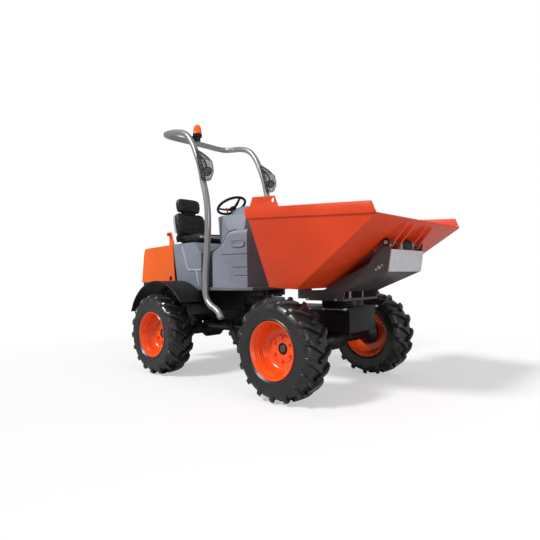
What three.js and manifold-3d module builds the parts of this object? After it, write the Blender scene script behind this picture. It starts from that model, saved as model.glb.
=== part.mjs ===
// A small articulated site dumper with a swivelling skip, built as separate pieces.
// Millimetres, +Z up, +X towards the skip's lip, +Y to the machine's left.
import * as THREE from 'three';
import { mergeVertices } from 'three/addons/utils/BufferGeometryUtils.js';
import { ConvexGeometry } from 'three/addons/geometries/ConvexGeometry.js';
import Module from 'manifold-3d';

const wasm = await Module();
wasm.setup();

// Fits
const GAP = 0.3;
const PIN_PLAY = 1.0;
const RUNNING_GAP = 8;
const LAP = 10; // how far shapes that are joined into one piece reach into each other

// Running gear: lengths are measured from the front axle's centre line and heights from the ground.
// A taller tyre lifts the body, which stays as far above the tyres' tops.
const FRONT_AXLE_X = 734;
const WHEELBASE = 1550;
const HALF_TRACK = 627.5;
const TYRE_R = 380;
const TYRE_TOP_Z = 760;
const BODY_LIFT = 2 * TYRE_R - TYRE_TOP_Z;
const AXLE_Z = TYRE_R - BODY_LIFT;
const TYRE_HALF_W = 128;
const TYRE_INNER_Y = HALF_TRACK - TYRE_HALF_W;
const TREAD_HALF_W = 62;
const TYRE_WALL = 30;
const RIM_R = 213;
const RIM_HALF_W = 118;
const BEAD_R = 198;
const BEAD_HALF_W = 104;
const WELL = { outerR: 184, innerR: 176, halfW: 70 };
const DISC_R = 160;
const DISC_OUTSET = -22;
const DISC_THICK = 9;
const HUB_R = 43;
const HUB_OUTSET = -8;
const BARREL_OUTSET = 60;
const WHEEL_SIDES = 28;
const AXLE = {
  tubeR: 46, diffR: 86, diffHalfW: 80, diffEnd: 130, drumR: 105, drumDepth: 70, drumNeckR: 62, capR: 75,
  capThick: 26, saddleHalfL: 55, saddleY: [175, 245],
};

// Frames and the two vertical pivots
const PIVOT_X = -775;
const PIVOT_PIN_R = 20;
const LUG_R = 56;
const LUG_Z = [440, 600];
const LUG_PLAY = 6;
const EAR = { thick: 30, r: 60, rootX: -890, rootHalfW: 110 };
const CHASSIS_Z = [470, 640];
const WING = { halfL: 60, halfW: 250, high: 60 };
const BELLY_Z = 395;
const FRONT_FRAME = { x: [-400, 300], halfW: 188, topZ: 660, neckTopZ: 655 };
const NECK = { rootX: -395, tipX: -660, tipHalfW: 80, endHalfW: 50 };
const REAR_FRAME = { x: [-2200, -880], halfW: 170 };
const TOWER = { x: [-1420, -900], halfW: 150 };
const OUTRIGGER = { x: [-985, -885], z: [535, 600] };
const SHELF = { x: [-900, -640], y: [90, 150], rootX: -980, rootZ: 700, bottomZ: 735 };
const REAR_BELLY_X = [-1400, -1010];
const SLEW = { x: 160, r: 125, thick: 54, plateX: [-110, 287], plateHalfW: 260, plateThick: 14 };

// Tipping frame, skip and tip cylinder
const CHEEK_Y = 250;
const PLATE = 12;
const BASE_Z = FRONT_FRAME.topZ + SLEW.thick + 2 * GAP;
const BASE_THICK = 18;
const CHEEK_FOOT_Z = 728;
const REST = { x: [-150, -60], y: [180, CHEEK_Y], topZ: [828, 822.5], footTopZ: 746 };
const TIP = { x: 655, z: 1132, shaftR: 17, bossR: 29, overhang: 12 };
const TIP_CLEVIS_Y = [45, 57];
const SKIP_WALL = 8;
const SKIP_HALF_W = 664;
const SKIP_FLOOR_HALF_W = 588;
const RIM_BAND = 11;
const SKIP_REAR = { bottomX: -150, bottomZ: 829, topX: -296, bandZ: 1360, topZ: 1440, lean: 16 };
const SKIP_FRONT = { bottomX: 110, bottomZ: 813, lipX: 814, lipZ: 1279, topX: 780, topZ: 1360 };
const SKIP_RIBS_Y = [[92, 106], [196, 210]];
const LIFTING_EAR = {
  outline: [[-270, 1430], [-230, 1515], [-8, 1496], [30, 1410]], hole: [-24, 1467], holeR: 17, thick: 9,
};
const TIP_BASE = { x: 615, z: 1030, pinR: 15 };
const TIP_ROD_EYE = { x: 120, z: 772 };
const TIP_EYE_LUG_Y = [36, 48];
const TIP_CYLINDER = {
  pinAxis: [0, 1, 0], basePinR: TIP_BASE.pinR, baseR: 45, baseHalf: 42, barrelR: 38, rodR: 20,
  barrelStart: 30, barrelEnd: 425, rodStart: 140, boreStart: 128, neckR: 30, eyeR: 24, eyeHalf: 33,
};

// Steering cylinder, on the right-hand side
const STEER_BASE = { x: -1350, y: -232 };
const STEER_ROD_EYE = { x: -715, y: -214 };
const STEER_Z = 455;
const STEER_EYE_PLATE = { inner: 20, thick: 12, baseThick: 14 };
const STEER_CYLINDER = {
  pinAxis: [0, 0, 1], basePinR: 0, baseR: 24, baseHalf: STEER_EYE_PLATE.inner - GAP, barrelR: 30, rodR: 15,
  barrelStart: 46, barrelEnd: 370, rodStart: 178, boreStart: 52, neckR: 17, eyeR: 20, eyeHalf: 18,
};

// Bodywork
const BODY_HALF_W = 400;
const TRIM_HALF_W = BODY_HALF_W - 2;
const PLINTH_HALF_W = BODY_HALF_W - 1;
const SILL_Z = [790, 818];
const FLOOR_PAN_Z = [SILL_Z[0], SILL_Z[1] - 8];
const PLATFORM_X = [-1465, -600];
const PLATFORM_LAP_X = -1398;
const SEAM = { topX: -1677, topZ: 1256, bottomX: -1640, bottomZ: 868 };
const PLINTH_FRONT = { x: -1218, shoulderZ: 1146, topX: -1286, topZ: 1217 };
const BONNET_REAR = {
  topX: -2212, topZ: 1239, shoulderX: -2234, shoulderZ: 1179, bottomX: -2282, bottomZ: 868,
};
const SKIN = 8;
const SEAT_SHELF = { halfW: 250, rearX: -2060, thick: 14 };
const CONSOLE = { rearX: -1050, taperX: -850, frontX: -668, frontHalfW: BODY_HALF_W - 80, hollow: 30 };
const SHOULDER = [
  [-1110, 1150], [-1050, 1150], [-1010, 1180], [-950, 1210], [-900, 1255], [-862, 1305], [-805, 1329],
  [CONSOLE.frontX + 30, 1335],
];
const COWL = {
  footX: -985, footZ: 1190, footHalfW: BODY_HALF_W - 48, frontZ: 1300, rearX: -1095, rearZ: 1455,
  frontX: -716, topZ: 1490, topHalfW: 290, chamfer: 55,
};
const POD = [
  [-1075, COWL.topZ + GAP, 85], [-800, COWL.topZ + GAP, 105], [-1165, 1545, 55], [-1130, 1578, 62],
  [-1030, 1600, 72], [-880, 1585, 80],
];
const DECK_Z = [838, BONNET_REAR.bottomZ - GAP];
const DECK = {
  x: [-2240, -1640], riserX: [-1690, -1652], frontX: -1400, rearThick: 40, rearBottomZ: 560,
  sideW: 60.7, tyreClearance: 101.5,
};
const COUNTERWEIGHT = {
  rearX: -2278, noseX: -2262, footX: -2255, z: [575, 832], noseZ: 820, heelZ: 620,
};
const ENGINE = { x: [-2130, -1700], halfW: 225, topZ: 1085, holeTopZ: 830 };
const FENDER_TOP_Z = 885;
const FENDER = {
  outerR: FENDER_TOP_Z - AXLE_Z, thick: 9, flange: 60, innerY: BODY_HALF_W + 6, outerY: 690,
  frontReach: 398, rearAngle: 157,
};

// Driving position
const WHEEL = { x: -1217, z: 1639, r: 159, rimR: 13, rake: 27.6, hubR: 30, hubRise: [-52, -22], spokeR: 9 };
const COLUMN = { r: 26, foot: -150 };
const SEAT = { frontX: -1500, rearX: -1930, cushionZ: 1290, topZ: 1375, backTopZ: 1640, baseHalfW: 170 };
const LEVER = { stemR: 6, bootR: 16, bootHigh: 14, knobR: 14 };
const TIP_LEVER = { foot: [-1010, -215, COWL.topZ + GAP], top: [-1040, -225, 1560] };
const GEAR_LEVER = { foot: [-1000, 215, COWL.topZ + GAP], top: [-1030, 225, 1560] };
const BRAKE_LEVER = {
  foot: [-1190, 38 - BODY_HALF_W, SILL_Z[1] + GAP], top: [-1188, 34 - BODY_HALF_W, 1118], knobR: 17,
};
const BRACKET = {
  outline: [[-1905, 1225], [-1905, 1392], [-1888, 1410], [-1868, 1404], [-1792, 1225]], y: [-288, -282],
  footY: -308, footTopZ: 1258, knob: { x: -1886, z: 1380, r: 20, stemR: 9, y: [-312, -292] },
};

// Roll-over frame
const ROPS_R = 30;
const ROPS_Y = BODY_HALF_W + ROPS_R + GAP;
const ROPS_LEG = [
  [-898, 545], [-938, 597], [-1060, 668], [-1110, 735], [-1119, 841], [-1082, 1213], [-1068, 1448],
  [-1089, 1665], [-1132, 1815], [-1162, 1935], [-1229, 2102], [-1313, 2244], [-1400, 2322],
  [-1520, 2366], [-1680, 2392],
];
const ROPS_CORNER = [[-1762, 25.3, 2401], [-1790, 90.3, 2404], [-1790, 260.3, 2404]];
const BEACON = {
  x: -1310, y: 78.3 - ROPS_Y, z: 2318, r: 45, postR: 30, postHigh: 70, capHigh: 30, armHalfL: 22,
  armDrop: [66, 40], dome: [[0, 0], [42, 0], [42, 45], [37, 70], [24, 86], [0, 92]],
};
const LIGHT = {
  outline: [[-1212, 2130], [-1110, 2062], [-1035, 1990], [-1018, 1890], [-1060, 1822], [-1120, 1808]],
  halfW: 48, rearHalfW: 32, rearX: -1100,
};

const COLOURS = {
  orange: [0xe8401c, 0.45, 0.1],
  bonnetOrange: [0xf0641a, 0.4, 0.1],
  grey: [0x777c86, 0.55, 0.1],
  paleGrey: [0x9a9a9d, 0.45, 0.3],
  darkGrey: [0x464447, 0.55, 0.2],
  black: [0x141416, 0.6, 0.1],
  tyre: [0x17181a, 0.9, 0],
  steel: [0xa9abb0, 0.3, 0.9],
  amber: [0xff8a10, 0.25, 0],
  seat: [0x1a1a1c, 0.8, 0],
};

// ---- geometry helpers ----

function toSolid(geometry) {
  const bare = geometry.clone();
  bare.deleteAttribute('normal');
  bare.deleteAttribute('uv');
  const welded = mergeVertices(bare, 1e-4);
  return new wasm.Manifold(new wasm.Mesh({
    numProp: 3,
    vertProperties: new Float32Array(welded.attributes.position.array),
    triVerts: new Uint32Array(welded.index.array),
  }));
}

function toGeometry(solid) {
  const mesh = solid.getMesh();
  const geometry = new THREE.BufferGeometry();
  geometry.setAttribute('position', new THREE.BufferAttribute(new Float32Array(mesh.vertProperties), 3));
  geometry.setIndex(new THREE.BufferAttribute(new Uint32Array(mesh.triVerts), 1));
  return geometry;
}

function join(...solids) {
  return solids.reduce((whole, next) => whole.add(next));
}

function around(centre, half) {
  return [centre - half, centre + half];
}

function box(x, y, z) {
  const geometry = new THREE.BoxGeometry(x[1] - x[0], y[1] - y[0], z[1] - z[0]);
  geometry.translate((x[0] + x[1]) / 2, (y[0] + y[1]) / 2, (z[0] + z[1]) / 2);
  return toSolid(geometry);
}

function extruded(points, depth) {
  const shape = new THREE.Shape(points.map(([u, v]) => new THREE.Vector2(u, v)));
  return new THREE.ExtrudeGeometry(shape, { depth, bevelEnabled: false });
}

// A side outline (x, z) given a thickness across the machine
function sideSlab(points, y) {
  const geometry = extruded(points, y[1] - y[0]);
  geometry.rotateX(Math.PI / 2);
  geometry.translate(0, y[1], 0);
  return toSolid(geometry);
}

// A plan outline (x, y) given a height
function planSlab(points, z) {
  const geometry = extruded(points, z[1] - z[0]);
  geometry.translate(0, 0, z[0]);
  return toSolid(geometry);
}

function hull(points) {
  return toSolid(new ConvexGeometry(points.map((p) => new THREE.Vector3(...p))));
}

// The hull of points given as (x, z, half width), each on both sides of the centre plane
function symmetricHull(points) {
  return hull(points.flatMap(([x, z, half]) => [[x, half, z], [x, -half, z]]));
}

function rodBetween(a, b, radius, sides = 20) {
  const from = new THREE.Vector3(...a);
  const along = new THREE.Vector3(...b).sub(from);
  const geometry = new THREE.CylinderGeometry(radius, radius, along.length(), sides);
  geometry.translate(0, along.length() / 2, 0);
  const turn = new THREE.Quaternion().setFromUnitVectors(new THREE.Vector3(0, 1, 0), along.normalize());
  geometry.applyQuaternion(turn);
  geometry.translate(...a);
  return toSolid(geometry);
}

function lathe(profile, sides) {
  const points = profile.map(([r, a]) => new THREE.Vector2(r, a));
  return toSolid(new THREE.LatheGeometry(points, sides));
}

function tube(points, radius, steps) {
  const path = new THREE.CatmullRomCurve3(points.map((p) => new THREE.Vector3(...p)), false, 'centripetal');
  const ring = new THREE.Shape();
  ring.absarc(0, 0, radius, 0, Math.PI * 2, false);
  const options = { extrudePath: path, steps, curveSegments: 5, bevelEnabled: false };
  return toSolid(new THREE.ExtrudeGeometry(ring, options));
}

function mirrored(solid) {
  return solid.mirror([0, 1, 0]);
}

function bothSides(solid) {
  return join(solid, mirrored(solid));
}

function largest(solid) {
  return solid.decompose().sort((a, b) => b.volume() - a.volume())[0];
}

function arcPoints(centre, radius, from, to, count) {
  return Array.from({ length: count + 1 }, (_, i) => {
    const angle = THREE.MathUtils.degToRad(from + ((to - from) * i) / count);
    return [centre[0] + radius * Math.cos(angle), centre[1] + radius * Math.sin(angle)];
  });
}

// ---- wheels and axles ----

// A profile (radius, offset) with the same points again on the other side, in order
function mirroredProfile(half) {
  return [...half.map(([r, a]) => [r, -a]), ...half.slice().reverse()];
}

function tyre() {
  const outer = mirroredProfile([
    [BEAD_R + 1, BEAD_HALF_W], [RIM_R + 19, TYRE_HALF_W - 6], [TYRE_R - 80, TYRE_HALF_W],
    [TYRE_R - 35, TYRE_HALF_W - 5], [TYRE_R - 9, TYRE_HALF_W - 24], [TYRE_R, TREAD_HALF_W],
  ]);
  const inner = mirroredProfile([
    [BEAD_R + 1, BEAD_HALF_W - 18], [RIM_R + 23, TYRE_HALF_W - 24], [TYRE_R - 80, TYRE_HALF_W - 18],
    [TYRE_R - 42, TYRE_HALF_W - 28], [TYRE_R - TYRE_WALL, TREAD_HALF_W - 2],
  ]);
  return lathe([...outer, ...inner.reverse(), outer[0]], WHEEL_SIDES);
}

// side is +1 where the wheel's face looks towards +Y
function rim(side) {
  const bead = BEAD_HALF_W + 0.6;
  const innerHalf = [
    [0, DISC_OUTSET], [DISC_R, DISC_OUTSET], [WELL.innerR, DISC_OUTSET - 20], [WELL.innerR, -WELL.halfW - 2],
    [WELL.innerR + 14, 18 - RIM_HALF_W], [RIM_R - 6, -RIM_HALF_W], [RIM_R, -RIM_HALF_W],
    [RIM_R, 5 - RIM_HALF_W], [BEAD_R, -bead], [BEAD_R, -WELL.halfW - 14], [WELL.outerR, -WELL.halfW],
  ];
  const outerHalf = [
    [WELL.outerR, WELL.halfW], [BEAD_R, WELL.halfW + 14], [BEAD_R, bead], [RIM_R, RIM_HALF_W - 5],
    [RIM_R, RIM_HALF_W], [RIM_R - 6, RIM_HALF_W], [BEAD_R + 4, RIM_HALF_W - 6],
    [WELL.innerR + 10, RIM_HALF_W - 18], [WELL.innerR + 2, BARREL_OUTSET],
    [DISC_R, DISC_OUTSET + DISC_THICK], [HUB_R, DISC_OUTSET + DISC_THICK],
    [HUB_R, HUB_OUTSET - 2], [HUB_R - 2, HUB_OUTSET], [0, HUB_OUTSET],
  ];
  const solid = lathe([...innerHalf, ...outerHalf], WHEEL_SIDES);
  return side > 0 ? solid : mirrored(solid);
}

function axle(x) {
  const a = AXLE;
  const half = HALF_TRACK + DISC_OUTSET - GAP;
  const drumIn = HALF_TRACK - a.drumDepth;
  const profile = mirroredProfile([
    [0, half], [a.capR, half], [a.capR, half - a.capThick], [a.drumR, half - a.capThick], [a.drumR, drumIn],
    [a.drumNeckR, drumIn - 30], [a.tubeR, drumIn - 60], [a.tubeR, a.diffEnd], [a.diffR, a.diffHalfW],
  ]);
  const saddle = box(around(0, a.saddleHalfL), a.saddleY, [0, CHASSIS_Z[0] - GAP - AXLE_Z]);
  return join(lathe(profile, 24), bothSides(saddle)).translate([x, 0, AXLE_Z]);
}

// ---- chassis halves ----

function axleWing(x) {
  return box(around(x, WING.halfL), around(0, WING.halfW), [CHASSIS_Z[0], CHASSIS_Z[0] + WING.high]);
}

// Two plates above and below the steering cylinder's line
function steeringClevis(plate, thick) {
  const { inner } = STEER_EYE_PLATE;
  return join(
    plate([STEER_Z + inner, STEER_Z + inner + thick]),
    plate([STEER_Z - inner - thick, STEER_Z - inner]),
  );
}

function rodEyePlate(z) {
  const eye = STEER_ROD_EYE;
  const plan = [[-690, -70], [-560, -110], [eye.x - 24, eye.y - 22], [eye.x + 24, eye.y - 22]];
  return hull(plan.flatMap(([x, y]) => [[x, y, z[0]], [x, y, z[1]]]));
}

function frontChassis() {
  const f = FRONT_FRAME;
  const body = box(f.x, around(0, f.halfW), [CHASSIS_Z[0], f.topZ]);
  const topPlate = box(SLEW.plateX, around(0, SLEW.plateHalfW), [f.topZ - SLEW.plateThick, f.topZ]);
  const neck = symmetricHull([
    [NECK.rootX, CHASSIS_Z[0], f.halfW], [NECK.rootX, f.neckTopZ, f.halfW],
    [NECK.tipX, LUG_Z[0], NECK.tipHalfW], [NECK.tipX, LUG_Z[1], NECK.tipHalfW],
  ]);
  const nib = symmetricHull([
    [NECK.tipX + LAP, LUG_Z[0], NECK.tipHalfW - 2], [NECK.tipX + LAP, LUG_Z[1], NECK.tipHalfW - 2],
    [PIVOT_X, LUG_Z[0], NECK.endHalfW], [PIVOT_X, LUG_Z[1], NECK.endHalfW],
  ]);
  const lug = rodBetween([PIVOT_X, 0, LUG_Z[0]], [PIVOT_X, 0, LUG_Z[1]], LUG_R, 24);
  const bore = rodBetween([PIVOT_X, 0, 0], [PIVOT_X, 0, f.topZ], PIVOT_PIN_R + PIN_PLAY, 24);
  const clevis = steeringClevis(rodEyePlate, STEER_EYE_PLATE.thick);
  const reach = STEER_EYE_PLATE.inner + STEER_EYE_PLATE.thick;
  const web = box([NECK.tipX - 12, -560], [-112, -60], around(STEER_Z, reach));
  return join(body, axleWing(0), topPlate, neck, nib, lug, clevis, web).subtract(bore);
}

function pivotEar(z) {
  return hull([
    ...arcPoints([PIVOT_X, 0], EAR.r, -90, 90, 8),
    [EAR.rootX, EAR.rootHalfW], [EAR.rootX, -EAR.rootHalfW],
  ].flatMap(([x, y]) => [[x, y, z[0]], [x, y, z[1]]]));
}

function baseEyePlate(z) {
  const { x, y } = STEER_BASE;
  return planSlab([[x - 60, -TOWER.halfW], [x - 30, y - 26], [x + 30, y - 26], [x + 60, -TOWER.halfW]], z);
}

function rearChassis() {
  const earZ = [LUG_Z[0] - LUG_PLAY - EAR.thick, LUG_Z[1] + LUG_PLAY + EAR.thick];
  const rail = box(REAR_FRAME.x, around(0, REAR_FRAME.halfW), CHASSIS_Z);
  const ears = join(pivotEar([earZ[1] - EAR.thick, earZ[1]]), pivotEar([earZ[0], earZ[0] + EAR.thick]));
  const back = box([EAR.rootX - LAP, REAR_FRAME.x[1] + 18], around(0, EAR.rootHalfW), earZ);
  const pinZ = [LUG_Z[0] - EAR.thick, LUG_Z[1] + EAR.thick];
  const pin = rodBetween([PIVOT_X, 0, pinZ[0]], [PIVOT_X, 0, pinZ[1]], PIVOT_PIN_R, 24);
  const outrigger = box(OUTRIGGER.x, [TOWER.halfW, BODY_HALF_W], OUTRIGGER.z);
  const tower = box(TOWER.x, around(0, TOWER.halfW), [CHASSIS_Z[1] - LAP, SILL_Z[0] - GAP]);
  const shelf = box(SHELF.x, SHELF.y, [SHELF.bottomZ, SILL_Z[0] - GAP]);
  const shelfRoot = box([SHELF.rootX, SHELF.x[0] + LAP], SHELF.y, [SHELF.rootZ, SILL_Z[0] - GAP]);
  const belly = box(REAR_BELLY_X, around(0, REAR_FRAME.halfW), [BELLY_Z, CHASSIS_Z[0] + LAP]);
  const clevis = steeringClevis(baseEyePlate, STEER_EYE_PLATE.baseThick);
  const clevisBack = box(around(STEER_BASE.x, 60), [-REAR_FRAME.halfW - 2, -TOWER.halfW],
    around(STEER_Z, STEER_EYE_PLATE.inner + STEER_EYE_PLATE.baseThick));
  const sides = bothSides(join(outrigger, shelf, shelfRoot));
  return join(rail, axleWing(-WHEELBASE), ears, back, pin, sides, tower, belly, clevis, clevisBack);
}

// The tray round the engine that the bonnet shuts on
function engineDeck() {
  const d = DECK;
  const edge = FENDER.innerY - GAP;
  const side = box(d.x, [edge - d.sideW, edge], DECK_Z);
  const riser = box([d.riserX[0], d.x[1]], [edge - d.sideW, TRIM_HALF_W], [SILL_Z[0], DECK_Z[1]]);
  const footY = [TOWER.halfW, Math.min(TRIM_HALF_W, TYRE_INNER_Y - d.tyreClearance)];
  const foot = box(d.riserX, footY, [CHASSIS_Z[1] + GAP, FLOOR_PAN_Z[1]]);
  const front = box([d.riserX[0], d.frontX], around(0, TRIM_HALF_W), FLOOR_PAN_Z);
  const rearX = [d.x[0], d.x[0] + d.rearThick - GAP];
  const rear = box(rearX, around(0, TRIM_HALF_W), [d.rearBottomZ, DECK_Z[1]]);
  const holeX = [ENGINE.x[0] - 5, d.riserX[1]];
  const engineHole = box(holeX, around(0, REAR_FRAME.halfW), [CHASSIS_Z[0], ENGINE.holeTopZ]);
  return join(bothSides(join(side, riser, foot)), front.subtract(engineHole), rear);
}

function counterweight() {
  const c = COUNTERWEIGHT;
  const frontX = DECK.x[0] - GAP;
  return sideSlab([
    [c.rearX, c.heelZ], [c.rearX, c.noseZ], [c.noseX, c.z[1]], [frontX, c.z[1]], [frontX, c.z[0]],
    [c.footX, c.z[0]],
  ], around(0, BODY_HALF_W - 25));
}

function slewRing() {
  const z = FRONT_FRAME.topZ + GAP;
  return rodBetween([SLEW.x, 0, z], [SLEW.x, 0, z + SLEW.thick], SLEW.r, 32);
}

// ---- tipping frame, skip and tip cylinder ----

function tippingFrame() {
  const between = around(0, CHEEK_Y - 2);
  const cheek = sideSlab([
    [REST.x[0], CHEEK_FOOT_Z], [284, CHEEK_FOOT_Z], [300, 786], [657, 928], [683, 1083], [686, 1120],
    ...arcPoints([TIP.x, TIP.z], TIP.bossR, -5, 150, 6),
    [578, 1100], [514, 992], [180, 834], [110, 800], [REST.x[0], 793],
  ], [CHEEK_Y - PLATE, CHEEK_Y]);
  const base = box([REST.x[1] - LAP, SLEW.plateX[1]], around(0, CHEEK_Y - 1), [BASE_Z, BASE_Z + BASE_THICK]);
  const front = sideSlab([[645, 931], [658, 931], [683, 1083], [670, 1083]], between);
  const belly = sideSlab([[658, 931], [650, 938], [470, 865], [300, 797], [300, 786]], between);
  const notch = box([600, 720], around(0, TIP_CLEVIS_Y[1] + 1), [1035, 1200]);
  const shaftEnd = CHEEK_Y + TIP.overhang;
  const shaft = rodBetween([TIP.x, -shaftEnd, TIP.z], [TIP.x, shaftEnd, TIP.z], TIP.shaftR);
  const clevis = sideSlab([
    [672, 955], [680, 1110], [650, 1118], [TIP_BASE.x - 24, TIP_BASE.z + 34],
    [TIP_BASE.x - 38, TIP_BASE.z - 8], [TIP_BASE.x - 10, 950],
  ], TIP_CLEVIS_Y);
  const pinEnd = TIP_CLEVIS_Y[1] + 5;
  const pin = rodBetween([TIP_BASE.x, -pinEnd, TIP_BASE.z], [TIP_BASE.x, pinEnd, TIP_BASE.z], TIP_BASE.pinR);
  const rest = sideSlab([
    [REST.x[0], 790], [REST.x[1], 800], [REST.x[1], REST.topZ[1]], [REST.x[0], REST.topZ[0]],
  ], REST.y);
  const restFoot = box(REST.x, around(0, CHEEK_Y - 1), [CHEEK_FOOT_Z, REST.footTopZ]);
  const restPost = box(REST.x, [REST.y[0], REST.y[0] + 20], [CHEEK_FOOT_Z + 2, 805]);
  const pairs = bothSides(join(cheek, clevis, rest, restPost));
  return join(pairs, base, front.subtract(notch), belly, shaft, pin, restFoot);
}

// The tub's outside
function skipHull() {
  const r = SKIP_REAR;
  const f = SKIP_FRONT;
  return symmetricHull([
    [r.bottomX, r.bottomZ, SKIP_FLOOR_HALF_W], [f.bottomX, f.bottomZ, SKIP_FLOOR_HALF_W],
    [r.topX, r.bandZ, SKIP_HALF_W], [f.lipX, f.lipZ, SKIP_HALF_W],
    [r.topX - r.lean, r.topZ, SKIP_HALF_W], [f.topX, f.topZ, SKIP_HALF_W],
  ]);
}

// The tub's inside, carried on past its open top and its lip
function skipSpace() {
  const r = SKIP_REAR;
  const f = SKIP_FRONT;
  const w = SKIP_WALL;
  const above = 400;
  const past = { x: 30, z: 20 };
  return symmetricHull([
    [r.bottomX + w * 0.7, r.bottomZ + w * 1.05, SKIP_FLOOR_HALF_W - w],
    [f.bottomX - w * 0.35, f.bottomZ + w * 1.05, SKIP_FLOOR_HALF_W - w],
    [r.topX + w, r.bandZ, SKIP_HALF_W - w],
    [f.lipX - w * 0.6 + past.x, f.lipZ + w * 1.05 + past.z, SKIP_HALF_W - w],
    [r.topX - r.lean + w - above * 0.2, r.topZ + above, SKIP_HALF_W - w],
    [f.topX + 2 * past.x, f.topZ + above, SKIP_HALF_W - w],
  ]);
}

function rimBand() {
  const r = SKIP_REAR;
  const f = SKIP_FRONT;
  const bite = 3;
  const side = sideSlab([
    [r.topX - bite, r.bandZ], [r.topX - r.lean, r.topZ], [f.topX, f.topZ], [f.lipX - 4, f.lipZ + 6],
    [f.lipX - 60, f.lipZ + 7],
  ], [SKIP_HALF_W - bite, SKIP_HALF_W + RIM_BAND]);
  const rear = sideSlab([
    [r.topX - RIM_BAND - bite, r.bandZ], [r.topX - RIM_BAND - r.lean, r.topZ],
    [r.topX - 10, r.topZ], [r.topX + 2, r.bandZ],
  ], around(0, SKIP_HALF_W + RIM_BAND));
  return join(bothSides(side), rear);
}

function chuteZ(x) {
  const f = SKIP_FRONT;
  return f.bottomZ + ((x - f.bottomX) * (f.lipZ - f.bottomZ)) / (f.lipX - f.bottomX);
}

// A plate that stands on the side's rim, with a hole for a lifting hook
function liftingEar() {
  const { outline, hole, holeR, thick } = LIFTING_EAR;
  const edge = SKIP_HALF_W + RIM_BAND;
  const bore = rodBetween([hole[0], edge - 2 * thick, hole[1]], [hole[0], edge + thick, hole[1]], holeR, 16);
  return sideSlab(outline, [edge - thick, edge]).subtract(bore);
}

function skip() {
  const bite = 3;
  const ribOutline = [
    [520, chuteZ(520) + bite], [560, chuteZ(560) - 62], [TIP.x - 36, TIP.z - 22], [TIP.x - 12, TIP.z - 36],
    [TIP.x + 18, TIP.z - 33], [TIP.x + 34, TIP.z + 2], [776, chuteZ(776) - 20], [786, chuteZ(786) + bite],
  ];
  const bore = rodBetween([TIP.x, -400, TIP.z], [TIP.x, 400, TIP.z], TIP.shaftR + PIN_PLAY);
  const ribs = join(...SKIP_RIBS_Y.map((y) => sideSlab(ribOutline, y))).subtract(bore);
  const { x, z } = TIP_ROD_EYE;
  const lugOutline = [
    [x - 70, 826], [x - 26, z - 6], [x - 10, z - 24], [x + 10, z - 24], [x + 26, z - 6],
    [x + 80, chuteZ(x + 80) + bite], [x + 10, 822],
  ];
  const boss = rodBetween([x, TIP_EYE_LUG_Y[1] - 2, z], [x, TIP_EYE_LUG_Y[1] + 8, z], 13, 16);
  const lugs = join(sideSlab(lugOutline, TIP_EYE_LUG_Y), boss);
  const tub = skipHull().subtract(skipSpace());
  return join(tub, rimBand(), bothSides(join(ribs, lugs, liftingEar())));
}

// A barrel and its rod on the line from the base pin to the rod's eye
function cylinderPieces(base, eye, size) {
  const line = new THREE.Vector3(...eye).sub(new THREE.Vector3(...base));
  const length = line.length();
  const at = (s) => line.clone().setLength(s).add(new THREE.Vector3(...base)).toArray();
  const piece = (from, to, radius) => rodBetween(at(from), at(to), radius);
  const boss = (centre, radius, half) => {
    const end = (sign) => centre.map((value, i) => value + sign * size.pinAxis[i] * half);
    return rodBetween(end(-1), end(1), radius, 24);
  };
  const solidBarrel = join(
    boss(base, size.baseR, size.baseHalf),
    piece(size.barrelStart, size.barrelEnd, size.barrelR),
    piece(size.baseR / 2, size.barrelStart + 4, size.neckR),
    piece(size.barrelEnd - 30, size.barrelEnd + 8, size.barrelR + 5),
  );
  const bored = solidBarrel.subtract(piece(size.boreStart, length + 50, size.rodR + GAP));
  const eyeBore = boss(base, size.basePinR + PIN_PLAY, size.baseHalf + 20);
  const rod = join(piece(size.rodStart, length - 4, size.rodR), boss(eye, size.eyeR, size.eyeHalf));
  return { barrel: size.basePinR ? bored.subtract(eyeBore) : bored, rod };
}

function tipCylinder() {
  return cylinderPieces([TIP_BASE.x, 0, TIP_BASE.z], [TIP_ROD_EYE.x, 0, TIP_ROD_EYE.z], TIP_CYLINDER);
}

function steeringCylinder() {
  return cylinderPieces([STEER_BASE.x, STEER_BASE.y, STEER_Z], [STEER_ROD_EYE.x, STEER_ROD_EYE.y, STEER_Z],
    STEER_CYLINDER);
}

// ---- bodywork ----

function platform() {
  const frontHalfW = CONSOLE.frontHalfW + 3;
  const plan = [
    [PLATFORM_X[0], BODY_HALF_W], [PLATFORM_X[0], -BODY_HALF_W], [CONSOLE.taperX, -BODY_HALF_W],
    [PLATFORM_X[1], -frontHalfW], [PLATFORM_X[1], frontHalfW], [CONSOLE.taperX, BODY_HALF_W],
  ];
  const overDeck = box([PLATFORM_X[0] - LAP, PLATFORM_LAP_X], around(0, BODY_HALF_W + LAP),
    [SILL_Z[0] - LAP, FLOOR_PAN_Z[1] + GAP]);
  return planSlab(plan, SILL_Z).subtract(overDeck);
}

function plinthOutline(inset) {
  const front = PLINTH_FRONT;
  const foot = SILL_Z[1] + GAP - inset * 2;
  return [
    [SEAM.bottomX + 40 + inset, foot], [SEAM.topX + 1 + inset, SEAM.topZ - inset],
    [front.topX - 60 - inset * 0.3, SEAM.topZ - inset], [front.topX - inset * 0.6, front.topZ - inset * 0.7],
    [front.x - inset, front.shoulderZ - inset * 0.6], [front.x - inset, foot],
  ];
}

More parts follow.
